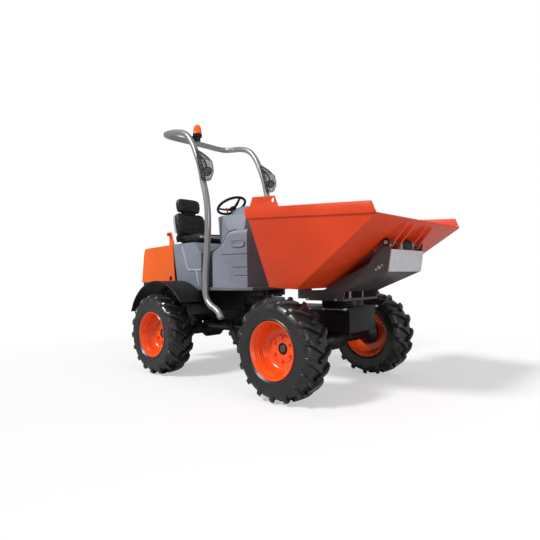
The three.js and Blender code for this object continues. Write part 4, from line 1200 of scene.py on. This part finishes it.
def knobbed_lever(name, foot, top, knob_radius):
    """A thin lever in a folded rubber boot, and its ball knob."""
    along = (top - foot).normalized()
    stem = rod("stem", foot + along * 0.008, top, 0.006, 16)
    boot = turned("boot", [(0.0, 0.0), (0.020, 0.0), (0.022, 0.003), (0.016, 0.007), (0.018, 0.011),
                           (0.012, 0.015), (0.013, 0.019), (0.008, 0.024), (0.0, 0.024)], foot, along, 24)
    ball = [(knob_radius * math.sin(a) * (1.0 if a < 2.2 else 0.96), -knob_radius * math.cos(a))
            for a in [math.pi * i / 12 for i in range(13)]]
    return joined(f"{name}_stem", [stem, boot]), turned(f"{name}_knob", ball, top, along, 24)


class DUMPER_OT_levers(Builder, bpy.types.Operator):
    """Tip and gear levers with red knobs, and the brake lever with its long grip."""
    bl_idname = "dumper.levers"
    bl_label = "Levers"

    def build(self, size, finish):
        """Three levers, each where its CAD node stands."""
        for node, foot, top in (
                ("tip_lever", at(-1.010, -0.215, ON_COWL), at(-1.040, -0.225, 1.560)),
                ("gear_lever", at(-1.000, 0.215, ON_COWL), at(-1.030, 0.225, 1.560))):
            stem, knob = knobbed_lever(node, foot, top, 0.0145)
            fitted(stem, "rear_half", finish["black_plastic"], "black_plastic", node)
            fitted(knob, "rear_half", finish["red_plastic"], "orange_paint")
        foot = at(-1.190, -0.362, SILL_Z + 0.0003)
        top = at(-1.188, -0.366, 1.055)
        along = (top - foot).normalized()
        stem = rod("brake_lever_stem", foot + along * 0.01, top, 0.0065, 16)
        boot = block("brake_boot", foot - Vector((0.03, 0.016, 0)), foot + Vector((0.03, 0.016, 0.016)))
        fitted(joined("brake_lever_stem", [stem, soften(boot, 0.004)]), "rear_half",
               finish["black_plastic"], "black_plastic", "brake_lever")
        profile = [(0.0, -0.003), (0.010, 0.0), (0.0135, 0.008), (0.0125, 0.024), (0.0145, 0.040),
                   (0.0155, 0.056), (0.013, 0.072), (0.007, 0.078), (0.0, 0.079)]
        grip = turned("brake_grip", profile, top, along, 24)
        fitted(grip, "rear_half", finish["red_plastic"], "orange_paint")


# ---- bodywork ----


def raised_line(name, path, out, wide=0.021, high=0.008):
    """A raised moulding along a path on a flat side face."""
    rings = []
    for i, point in enumerate(path):
        before = path[max(i - 1, 0)]
        after = path[min(i + 1, len(path) - 1)]
        along = (after - before).normalized()
        over = along.cross(out).normalized()
        rings.append([point + over * wide / 2 - out * 0.002, point + over * wide * 0.3 + out * high,
                      point - over * wide * 0.3 + out * high, point - over * wide / 2 - out * 0.002])
    return soften(lofted(name, rings), 0.0015, 2, 20)


MUDGUARD_R = 0.5005
REAR_EDGE_ROUND = 0.034
PLINTH_FACE = BODY_HALF_W - 0.001
PLINTH_LINES = [
    [(-1.515, 1.222), (-1.436, 1.022), (-1.424, 0.998), (-1.404, 0.986), (-1.216, 0.984)],
    [(-1.292, 0.984), (-1.252, 0.835)],
]


class DUMPER_OT_bodywork(Builder, bpy.types.Operator):
    """Bonnet, seat plinth, platform, rear mudguards and the knob bracket."""
    bl_idname = "dumper.bodywork"
    bl_label = "Bodywork"

    def build(self, size, finish):
        """Each panel with rounded edges and its own trim."""
        bonnet = refined("bonnet", "bonnet_lid", 0)

        def rear_edge(a, b):
            """Whether an edge runs across the top of the rear end."""
            return min(a.z, b.z) > 1.10 and max(a.x, b.x) < at(-2.19, 0, 0).x and abs(a.y - b.y) > 0.1

        bevelled(bonnet, rear_edge, REAR_EDGE_ROUND, 5)
        soften(bonnet, 0.012, 4)
        fitted(bonnet, "bonnet_lid", finish["bonnet_paint"], "bonnet_paint")
        self.bonnet_trim(finish)
        plinth = refined("seat_plinth", "plinth_shell", 0.006, 3)
        fitted(plinth, "rear_half", finish["moulded_grey"], "grey_paint")
        # the raised lines get a paler grey, a painted highlight on their ridges
        for side, hand in SIDES:
            paths = [[at(x, side * PLINTH_FACE, z) for x, z in line] for line in PLINTH_LINES]
            lines = [raised_line("plinth_line", path, ACROSS * side) for path in paths]
            fitted(joined(f"plinth_lines_{hand}", lines), "rear_half", finish["line_highlight_grey"], "grey_paint")
        platform = refined("operator_platform", "platform_plate", 0.003, 2)
        fitted(platform, "rear_half", finish["sill_grey"], "pale_grey_paint")
        for side, hand in reversed(SIDES):
            self.mudguard(side, hand, finish)
        bracket = refined("knob_bracket", "lid_bracket", 0.0015, 2)
        fitted(bracket, "bonnet_lid", finish["bonnet_paint"], "bonnet_paint")
        knob = turned("lid_knob", [(0.0, 0.0), (0.010, 0.0), (0.010, 0.012), (0.019, 0.016), (0.0215, 0.024),
                                   (0.019, 0.032), (0.010, 0.036), (0.0, 0.0365)],
                      at(-1.886, -0.288, 1.380), -ACROSS, 28)
        fitted(knob, "bonnet_lid", finish["red_plastic"], "orange_paint")

    def bonnet_trim(self, finish):
        """A latch on each side of the lid."""
        parts = []
        for side in (-1, 1):
            face = ACROSS * side
            base = at(-1.72, side * BODY_HALF_W, 0.91)
            profile = [(0.0, -0.002), (0.021, -0.002), (0.023, 0.001), (0.021, 0.004),
                       (0.013, 0.005), (0.011, 0.003), (0.0, 0.003)]
            cup = turned("latch", profile, base, face, 28)
            bar = block("latch_bar", base + Vector((-0.012, 0.002 * side, -0.003)),
                        base + Vector((0.012, 0.008 * side, 0.003)))
            parts += [cup, soften(bar, 0.0012)]
        latches = joined("bonnet_latches", parts)
        fitted(latches, "bonnet_lid", finish["black_plastic"], "black_plastic")

    def mudguard(self, side, hand, finish):
        """A rolled sheet with a beaded edge."""
        guard = refined(f"rear_fender_{hand}", f"mudguard_{hand}", 0.003, 2)
        fitted(guard, "rear_half", finish["black_plastic"], "black_paint")
        low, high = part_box(f"rear_fender_{hand}")
        edge_y = high.y if side > 0 else low.y
        centre = Vector((WHEELS["rear_left"].x, 0, WHEEL_Z))
        path = [centre + Vector((MUDGUARD_R * math.cos(math.radians(a)), edge_y - side * 0.004,
                                 MUDGUARD_R * math.sin(math.radians(a)))) for a in range(40, 157, 9)]
        bead = tube(f"mudguard_bead_{hand}", path, 0.0075, sides=6, steps=3)
        fitted(bead, "rear_half", finish["black_plastic"], "black_paint")


# ---- roll-over frame and what it carries ----

FRAME_TUBE_R = 0.030
LEG_Y = 0.4303
LEG = [(-0.898, 0.545), (-0.938, 0.597), (-1.060, 0.668), (-1.110, 0.735), (-1.119, 0.841), (-1.082, 1.213),
       (-1.068, 1.448), (-1.089, 1.665), (-1.132, 1.815), (-1.162, 1.935), (-1.229, 2.102), (-1.313, 2.244),
       (-1.400, 2.322), (-1.520, 2.366), (-1.680, 2.392)]
FRAME_CORNER = [(-1.762, 0.405, 2.401), (-1.790, 0.340, 2.404), (-1.790, 0.170, 2.404)]
BEACON_FOOT = at(-1.310, -0.352, 2.318)
LENS_RIBS = 15
LAMP_X = -1.075
LAMP_Z = 1.905
LAMP_FACING = Vector((0.93, 0, -0.37)).normalized()


class DUMPER_OT_roll_frame(Builder, bpy.types.Operator):
    """The bent-tube roll-over frame with its foot bolts."""
    bl_idname = "dumper.roll_frame"
    bl_label = "Roll-over frame"

    def build(self, size, finish):
        """One tube up the right leg, round the back and down the left leg."""
        right = [at(x, -LEG_Y, z) for x, z in LEG] + [at(x, -y, z) for x, y, z in FRAME_CORNER]
        left = [Vector((p.x, -p.y, p.z)) for p in reversed(right)]
        frame_tube = tube("roll_frame_tube", right + left, FRAME_TUBE_R, sides=16, steps=5)
        fitted(frame_tube, "rear_half", finish["frame_grey"], "grey_paint", "rops_frame")
        for side, hand in SIDES:
            places = [at(x, side * (BODY_HALF_W + 0.0005), 0.555) for x in (-0.986, -0.921)]
            fitted(bolts(f"foot_bolts_{hand}", places, ACROSS * side, 0.017, 0.009), "rear_half",
                   finish["zinc_steel"], "rod_steel")


class DUMPER_OT_beacon(Builder, bpy.types.Operator):
    """The amber beacon with its ribbed lens and rubber stalk."""
    bl_idname = "dumper.beacon"
    bl_label = "Beacon"

    def build(self, size, finish):
        """Dome and base."""
        dome = []
        for i in range(LENS_RIBS):
            height = 0.004 + i * 0.0044
            radius = 0.0425 - 0.00004 * i * i
            dome += [(radius, height), (radius - 0.0012, height + 0.0022)]
        dome += [(0.031, 0.072), (0.026, 0.080), (0.018, 0.087), (0.008, 0.0915), (0.0, 0.092)]
        lens = turned("beacon_lens", [(0.0, 0.0003), (0.043, 0.0003)] + dome, BEACON_FOOT, UP, 40)
        fitted(lens, "rear_half", finish["amber_lens"], "amber_lens", "beacon_dome")
        base = refined("beacon_base", "beacon_stalk", 0.006, 3)
        fitted(base, "rear_half", finish["black_plastic"], "black_plastic")


def cage(name, node):
    """A woven wire guard with the CAD body's outline."""
    piece = frame_copy(node, name)
    modified(piece, "REMESH", mode="VOXEL", voxel_size=0.014)
    modified(piece, "SMOOTH", factor=0.6, iterations=4)
    modified(piece, "WIREFRAME", thickness=0.0034, use_even_offset=True, use_replace=True)
    return smooth(piece, 60)


class DUMPER_OT_work_lights(Builder, bpy.types.Operator):
    """Two work lights on the legs, each behind a wire guard."""
    bl_idname = "dumper.work_lights"
    bl_label = "Work lights"

    def build(self, size, finish):
        """Lamp, lens, bracket and guard, one a side."""
        for side, hand in reversed(SIDES):
            guard = cage(f"light_guard_{hand}", f"work_light_{hand}")
            fitted(guard, "rear_half", finish["guard_grey"], "dark_grey_paint", f"work_light_{hand}")
            centre = at(LAMP_X, side * LEG_Y, LAMP_Z)
            profile = [(0.0, -0.040), (0.018, -0.038), (0.030, -0.026), (0.038, -0.008), (0.041, 0.012),
                       (0.042, 0.022), (0.038, 0.024), (0.036, 0.017), (0.020, 0.004), (0.0, 0.0)]
            shell = turned(f"lamp_shell_{hand}", profile, centre, LAMP_FACING, 36)
            fitted(shell, "rear_half", finish["black_plastic"], "black_plastic")
            profile = [(0.0, 0.016), (0.037, 0.016), (0.037, 0.019), (0.020, 0.0225), (0.0, 0.024)]
            lens = turned(f"lamp_lens_{hand}", profile, centre, LAMP_FACING, 36)
            fitted(lens, "rear_half", finish["clear_lens"], "black_plastic")
            path = [at(x, side * LEG_Y, z) for x, z in ((-1.168, 2.06), (-1.115, 2.01), (-1.085, 1.955))]
            spine = tube(f"lamp_bracket_{hand}", path + [centre - LAMP_FACING * 0.02], 0.008)
            fitted(spine, "rear_half", finish["black_plastic"], "black_plastic")


# ---- seat ----

SEAT_FRONT = -1.500
SEAT_REAR = -1.930
CUSHION_Z = 1.290
SEAT_HALF_W = 0.200
CLOTH_FRAMES = 20
FAR = 1.0  # the distance given for a point that no seam reaches


def swollen(piece, cap, pressure=4.0):
    """Puffs a pad with a cloth simulation, and holds every point within the cap."""
    modified(piece, "REMESH", mode="VOXEL", voxel_size=0.0065)
    rest = [v.co.copy() for v in piece.data.vertices]
    only(piece)
    cloth = piece.modifiers.new("Cloth", "CLOTH")
    cloth.settings.quality = 5
    cloth.settings.use_pressure = True
    cloth.settings.uniform_pressure_force = pressure
    cloth.settings.effector_weights.gravity = 0
    cloth.point_cache.frame_start = 1
    cloth.point_cache.frame_end = CLOTH_FRAMES
    for step in range(1, CLOTH_FRAMES + 1):
        bpy.context.scene.frame_set(step)
    bpy.ops.object.modifier_apply(modifier=cloth.name)
    bpy.context.scene.frame_set(1)
    for vertex, start in zip(piece.data.vertices, rest):
        shift = vertex.co - start
        if shift.length > cap:
            vertex.co = start + shift.normalized() * cap
    return subdivided(piece)


def sewn(piece, distance, depth=0.006, width=0.010):
    """Pulls the cover in along a seam; distance gives each point's distance from it."""
    piece.data.update()
    normals = [v.normal.copy() for v in piece.data.vertices]
    for vertex, normal in zip(piece.data.vertices, normals):
        gap = abs(distance(vertex.co))
        if gap < width * 2.5:
            vertex.co -= normal * depth * math.exp(-(gap / width) ** 2 * 2)
    return piece


def bolstered(piece, axis, beyond, rise, dip):
    """Raises a pad's face towards its sides and lowers its middle; the axis is 0 for x and 2 for z."""
    for vertex in piece.data.vertices:
        edge = min(1.0, abs(vertex.co.y) / SEAT_HALF_W)
        if vertex.co[axis] > beyond:
            vertex.co[axis] += rise * edge ** 3 - dip * (1 - edge ** 2)


def upright_pad(name, stations, count, power):
    """A standing pad before it swells, from stations of height, front x, rear x and half width."""
    rings = []
    for z, front, rear, half in stations:
        outline = superellipse(count, half, (front - rear) / 2, power)
        rings.append([at((front + rear) / 2 + v, u, z) for u, v in outline])
    return lofted(name, rings)


class DUMPER_OT_seat(Builder, bpy.types.Operator):
    """The driver's seat: suspension base, cushion, back and headrest in black vinyl."""
    bl_idname = "dumper.seat"
    bl_label = "Seat"

    def build(self, size, finish):
        """Three padded pieces on a plastic shell and a sliding base."""
        base = refined("seat_base", "seat_slides", 0.006, 2)
        fitted(base, "rear_half", finish["black_plastic"], "black_plastic")
        for make, node in ((self.cushion, "seat_cushion"), (self.back, "seat_back"), (self.head, "headrest")):
            pad = make(size)
            fitted(pad, "rear_half", finish["seat_vinyl"], "seat_vinyl", node)
        self.shell(finish)

    def cushion(self, size):
        """A wide cushion with raised side bolsters and a rolled front."""
        length = SEAT_FRONT - SEAT_REAR
        rings = []
        for share, half, low, high in ((0.02, 0.172, 0.020, 0.058), (0.12, 0.190, 0.008, 0.068),
                                       (0.5, 0.198, 0.006, 0.066), (0.85, 0.198, 0.008, 0.070),
                                       (0.96, 0.192, 0.014, 0.060), (1.0, 0.180, 0.026, 0.046)):
            middle_z = CUSHION_Z + (low + high) / 2
            rings.append([at(SEAT_REAR + 0.012 + (length - 0.024) * share, u, middle_z + v)
                          for u, v in superellipse(20, half, (high - low) / 2 + 0.006, 4)])
        pad = swollen(lofted("seat_cushion_pad", rings), size.cushion_swell)
        bolstered(pad, 2, CUSHION_Z + 0.04, 0.016, 0.006)
        top = CUSHION_Z + 0.045
        for side in (-1, 1):
            sewn(pad, lambda p, s=side: FAR if p.z < top else p.y - s * 0.125)
        for x in (-1.60, -1.70, -1.80):
            sewn(pad, lambda p, x=x: FAR if p.z < top or abs(p.y) > 0.125 else p.x - at(x, 0, 0).x)
        return smooth(pad, 60)

    def back(self, size):
        """A tall back, wide at the shoulders, with bolsters down both sides."""
        stations = [
            (1.345, -1.868, -1.935, 0.150), (1.372, -1.846, -1.946, 0.188), (1.43, -1.850, -1.962, 0.204),
            (1.50, -1.864, -1.975, 0.208), (1.57, -1.880, -1.984, 0.200), (1.615, -1.892, -1.986, 0.184),
            (1.634, -1.910, -1.978, 0.150)]
        pad = swollen(upright_pad("seat_back_pad", stations, 20, 3.4), size.cushion_swell * 0.8)
        bolstered(pad, 0, at(-1.92, 0, 0).x, 0.026, 0.010)
        front_of = at(-1.905, 0, 0).x
        for side in (-1, 1):
            sewn(pad, lambda p, s=side: FAR if p.x < front_of else p.y - s * (0.105 + 0.03 * (p.z - 1.4)),
                 0.008)
        for z in (1.445, 1.515, 1.58):
            sewn(pad, lambda p, z=z: FAR if p.x < front_of or abs(p.y) > 0.108 else p.z - z, 0.006)
        return smooth(pad, 60)

    def head(self, size):
        """A thick block with rounded ends."""
        stations = [
            (1.645, -1.918, -1.980, 0.128), (1.656, -1.904, -1.992, 0.144), (1.700, -1.900, -2.000, 0.154),
            (1.745, -1.903, -2.002, 0.154), (1.780, -1.912, -1.998, 0.142), (1.794, -1.932, -1.984, 0.116)]
        pad = swollen(upright_pad("headrest_pad", stations, 24, 3.2), size.cushion_swell * 0.6)
        sewn(pad, lambda p: FAR if p.x < at(-1.94, 0, 0).x else p.z - 1.728, 0.004, 0.007)
        return smooth(pad, 60)

    def shell(self, finish):
        """Pale side strips on the back and a pale band on the cushion's front that is a painted highlight on
        its rolled edge, headrest posts, neck and hinges.
        """
        strips = []
        for side in (-1, 1):
            path = [at(x, side * y, z) for x, y, z in (
                (-1.905, 0.200, 1.40), (-1.912, 0.212, 1.47), (-1.925, 0.212, 1.54), (-1.940, 0.200, 1.600))]
            rings = []
            for i, point in enumerate(path):
                half = 0.017 - 0.003 * abs(i - 1.2)
                out = ACROSS * side
                rings.append([point + AHEAD * half + out * 0.001, point + AHEAD * half * 0.6 + out * 0.006,
                              point - AHEAD * half * 0.6 + out * 0.006, point - AHEAD * half + out * 0.001,
                              point - AHEAD * half - out * 0.008, point + AHEAD * half - out * 0.008])
            strips.append(soften(lofted("seat_strip", rings), 0.002, 2))
        # painted highlight: the pale band along the cushion's rolled front stands for the light on that edge
        band = [at(SEAT_FRONT + 0.004 - 0.03 * abs(y / 0.18) ** 3, y, CUSHION_Z + 0.046)
                for y in (-0.17, -0.12, -0.06, 0, 0.06, 0.12, 0.17)]
        rings = [[p + UP * 0.012, p + UP * 0.008 + AHEAD * 0.005, p - UP * 0.008 + AHEAD * 0.005,
                  p - UP * 0.012, p - AHEAD * 0.012] for p in band]
        strips.append(soften(lofted("cushion_highlight_band", rings), 0.002, 2))
        fitted(joined("seat_trim_and_highlight", strips), "rear_half", finish["pale_grey_paint"], "pale_grey_paint")
        posts = [rod("post", at(-1.944, side * 0.055, 1.60), at(-1.946, side * 0.055, 1.70), 0.006, 16)
                 for side in (-1, 1)]
        fitted(joined("headrest_posts", posts), "rear_half", finish["rod_steel"], "rod_steel")
        neck = soften(block("headrest_neck", at(-1.972, -0.085, 1.615), at(-1.922, 0.085, 1.665)), 0.008, 3)
        fitted(neck, "rear_half", finish["black_plastic"], "black_plastic")
        hinges = []
        for side in (-1, 1):
            face = ACROSS * side
            disc = [(0.0, 0.0), (0.034, 0.0), (0.036, 0.004), (0.033, 0.012), (0.018, 0.014),
                    (0.015, 0.018), (0.0, 0.018)]
            hinges.append(turned("hinge", disc, at(-1.862, side * 0.196, 1.345), face, 32))
            corners = ((-1.80, 1.300), (-1.90, 1.300), (-1.845, 1.36), (-1.885, 1.36))
            arm = [at(x, side * y, z) for x, z in corners for y in (0.192, 0.202)]
            hinges.append(soften(hulled("hinge_arm", arm), 0.004, 2))
        fitted(joined("seat_hinges", hinges), "rear_half", finish["black_plastic"], "black_plastic")


# ---- cylinders ----


class DUMPER_OT_cylinders(Builder, bpy.types.Operator):
    """Tip and steering cylinders: black barrels and bright rods."""
    bl_idname = "dumper.cylinders"
    bl_label = "Cylinders"

    def build(self, size, finish):
        """The CAD shapes with rounded edges."""
        for name, body in (("tip", "tip"), ("steering", "steer")):
            barrel = refined(f"{name}_cylinder_barrel", f"{name}_barrel", 0.0015)
            fitted(barrel, f"{body}_barrel", finish["black_paint"], "black_paint")
            bright = refined(f"{name}_cylinder_rod", f"{name}_rod", 0.0015)
            fitted(bright, f"{body}_rod", finish["rod_steel"], "rod_steel")


# ---- camera, light and floor ----


CAMERA_PLACE = Vector((2.913, -3.057, 0.903))
CAMERA_AZIMUTH = 43.21
CAMERA_ELEVATION = -0.94
CAMERA_ROLL = -0.92
CAMERA_LENS = 29.79
SUN_ALONG = Vector((0.20, 0.68, -0.70))
SUN_STRENGTH = 2.5
FRONT_LIGHT_POWER = 70
ROOM_LIGHT = 0.36
FLOOR_COLOR = (0.55, 0.55, 0.55, 1.0)
FLOOR_LIFT = 0.46


def camera_axes():
    """The camera's right, up and back directions from its azimuth, elevation and roll."""
    azimuth, elevation, roll = (
        math.radians(angle) for angle in (CAMERA_AZIMUTH, CAMERA_ELEVATION, CAMERA_ROLL))
    back = Vector((math.sin(azimuth) * math.cos(elevation),
                   -math.cos(azimuth) * math.cos(elevation), math.sin(elevation)))
    level = Vector((math.cos(azimuth), math.sin(azimuth), 0))
    upright = back.cross(level)
    right = level * math.cos(roll) + upright * math.sin(roll)
    return right, back.cross(right), back


def area_light(name, place, target, width, power):
    """A square soft box that faces a point."""
    bpy.ops.object.light_add(type="AREA", location=place)
    light = newest(name)
    light.data.size = width
    light.data.energy = power
    light.rotation_euler = (Vector(target) - Vector(place)).to_track_quat("-Z", "Y").to_euler()


class DUMPER_OT_stage(Builder, bpy.types.Operator):
    """Camera, soft studio light and a plain pale floor."""
    bl_idname = "dumper.stage"
    bl_label = "Camera, light and floor"

    def build(self, size, finish):
        """Everything that isn't the machine."""
        bpy.ops.object.camera_add(location=CAMERA_PLACE)
        camera = newest("studio_camera")
        camera.rotation_euler = Matrix(camera_axes()).transposed().to_euler()
        camera.data.lens = CAMERA_LENS
        camera.data.sensor_width = 36
        bpy.context.scene.camera = camera
        bpy.context.scene.view_settings.view_transform = "Standard"
        bpy.ops.object.light_add(type="SUN", location=(-3, -6, 8))
        sun = newest("key_light")
        sun.data.energy = SUN_STRENGTH
        sun.data.angle = math.radians(12)
        sun.rotation_euler = SUN_ALONG.to_track_quat("-Z", "Y").to_euler()
        area_light("front_light", (6.0, -1.5, 2.0), (0.9, 0, 0.9), 3.0, FRONT_LIGHT_POWER)
        self.world()
        self.floor()

    def world(self):
        """A plain bright room: white behind the machine and through its lenses, softer as a light."""
        world = bpy.data.worlds.new("studio")
        bpy.context.scene.world = world
        world.use_nodes = True
        tree = world.node_tree
        rays = tree.nodes.new("ShaderNodeLightPath")
        seen = tree.nodes.new("ShaderNodeMath")
        seen.operation = "MAXIMUM"
        tree.links.new(rays.outputs["Is Camera Ray"], seen.inputs[0])
        tree.links.new(rays.outputs["Is Transmission Ray"], seen.inputs[1])
        strength = tree.nodes.new("ShaderNodeMapRange")
        strength.inputs["To Min"].default_value = ROOM_LIGHT
        strength.inputs["To Max"].default_value = 1.0
        tree.links.new(seen.outputs[0], strength.inputs["Value"])
        background = tree.nodes["Background"]
        background.inputs["Color"].default_value = (1, 1, 1, 1)
        tree.links.new(strength.outputs["Result"], background.inputs["Strength"])

    def floor(self):
        """A white floor that keeps the shadow near the machine and fades into the background."""
        bpy.ops.object.select_all(action="DESELECT")
        bpy.ops.mesh.primitive_plane_add(size=120, location=(0, 0, 0))
        floor = newest("studio_floor")
        finish = Finish("studio_floor", FLOOR_COLOR, 0.9, Specular_IOR_Level=0.0)
        tree = finish.tree
        rays = finish.node("ShaderNodeLightPath", {}, {})
        distance = finish.node("ShaderNodeVectorMath", {"operation": "LENGTH"}, {0: finish.place})
        far = Value(finish, distance.outputs["Value"]).spread(2.6, 4.6)
        white = finish.node("ShaderNodeEmission", {}, {"Color": (1, 1, 1, 1), "Strength": 1.0})
        faint = finish.node("ShaderNodeEmission", {}, {"Color": (1, 1, 1, 1), "Strength": FLOOR_LIFT})
        lifted = finish.node("ShaderNodeAddShader", {}, {})
        tree.links.new(finish.shader.outputs[0], lifted.inputs[0])
        tree.links.new(faint.outputs[0], lifted.inputs[1])
        fading = finish.node("ShaderNodeMixShader", {}, {0: far})
        tree.links.new(lifted.outputs[0], fading.inputs[1])
        tree.links.new(white.outputs[0], fading.inputs[2])
        shown = finish.node("ShaderNodeMixShader", {}, {0: rays.outputs["Is Camera Ray"]})
        tree.links.new(finish.shader.outputs[0], shown.inputs[1])
        tree.links.new(fading.outputs[0], shown.inputs[2])
        tree.links.new(shown.outputs[0], tree.nodes["Material Output"].inputs["Surface"])
        floor.data.materials.append(finish.material)


# ---- add-on ----


STEPS = [
    DUMPER_OT_stage, DUMPER_OT_wheels, DUMPER_OT_chassis, DUMPER_OT_skip, DUMPER_OT_tipping_frame,
    DUMPER_OT_cylinders, DUMPER_OT_console, DUMPER_OT_steering, DUMPER_OT_levers, DUMPER_OT_bodywork,
    DUMPER_OT_roll_frame, DUMPER_OT_beacon, DUMPER_OT_work_lights, DUMPER_OT_seat,
]


class DUMPER_PT_panel(bpy.types.Panel):
    """The dumper's settings and one button for each group of pieces."""
    bl_idname = "DUMPER_PT_panel"
    bl_label = "Site dumper"
    bl_space_type = "VIEW_3D"
    bl_region_type = "UI"
    bl_category = "Dumper"

    def draw(self, context):
        """Lists the settings, then the operators."""
        for settings in (context.scene.dumper_sizes, context.scene.dumper_colors):
            for name in settings.bl_rna.properties.keys():
                if name not in ("rna_type", "name"):
                    self.layout.prop(settings, name)
        for step in STEPS:
            self.layout.operator(step.bl_idname)


CLASSES = [DumperSizes, DumperColors, *STEPS, DUMPER_PT_panel]


def register():
    """Adds the classes and the scene's settings."""
    for added in CLASSES:
        bpy.utils.register_class(added)
    bpy.types.Scene.dumper_sizes = PointerProperty(type=DumperSizes)
    bpy.types.Scene.dumper_colors = PointerProperty(type=DumperColors)


def unregister():
    """Takes them away again."""
    del bpy.types.Scene.dumper_colors
    del bpy.types.Scene.dumper_sizes
    for added in reversed(CLASSES):
        bpy.utils.unregister_class(added)


def main():
    """Registers the add-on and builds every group."""
    register()
    for step in STEPS:
        group, name = step.bl_idname.split(".")
        getattr(getattr(bpy.ops, group), name)()


if __name__ == "__main__":
    main()
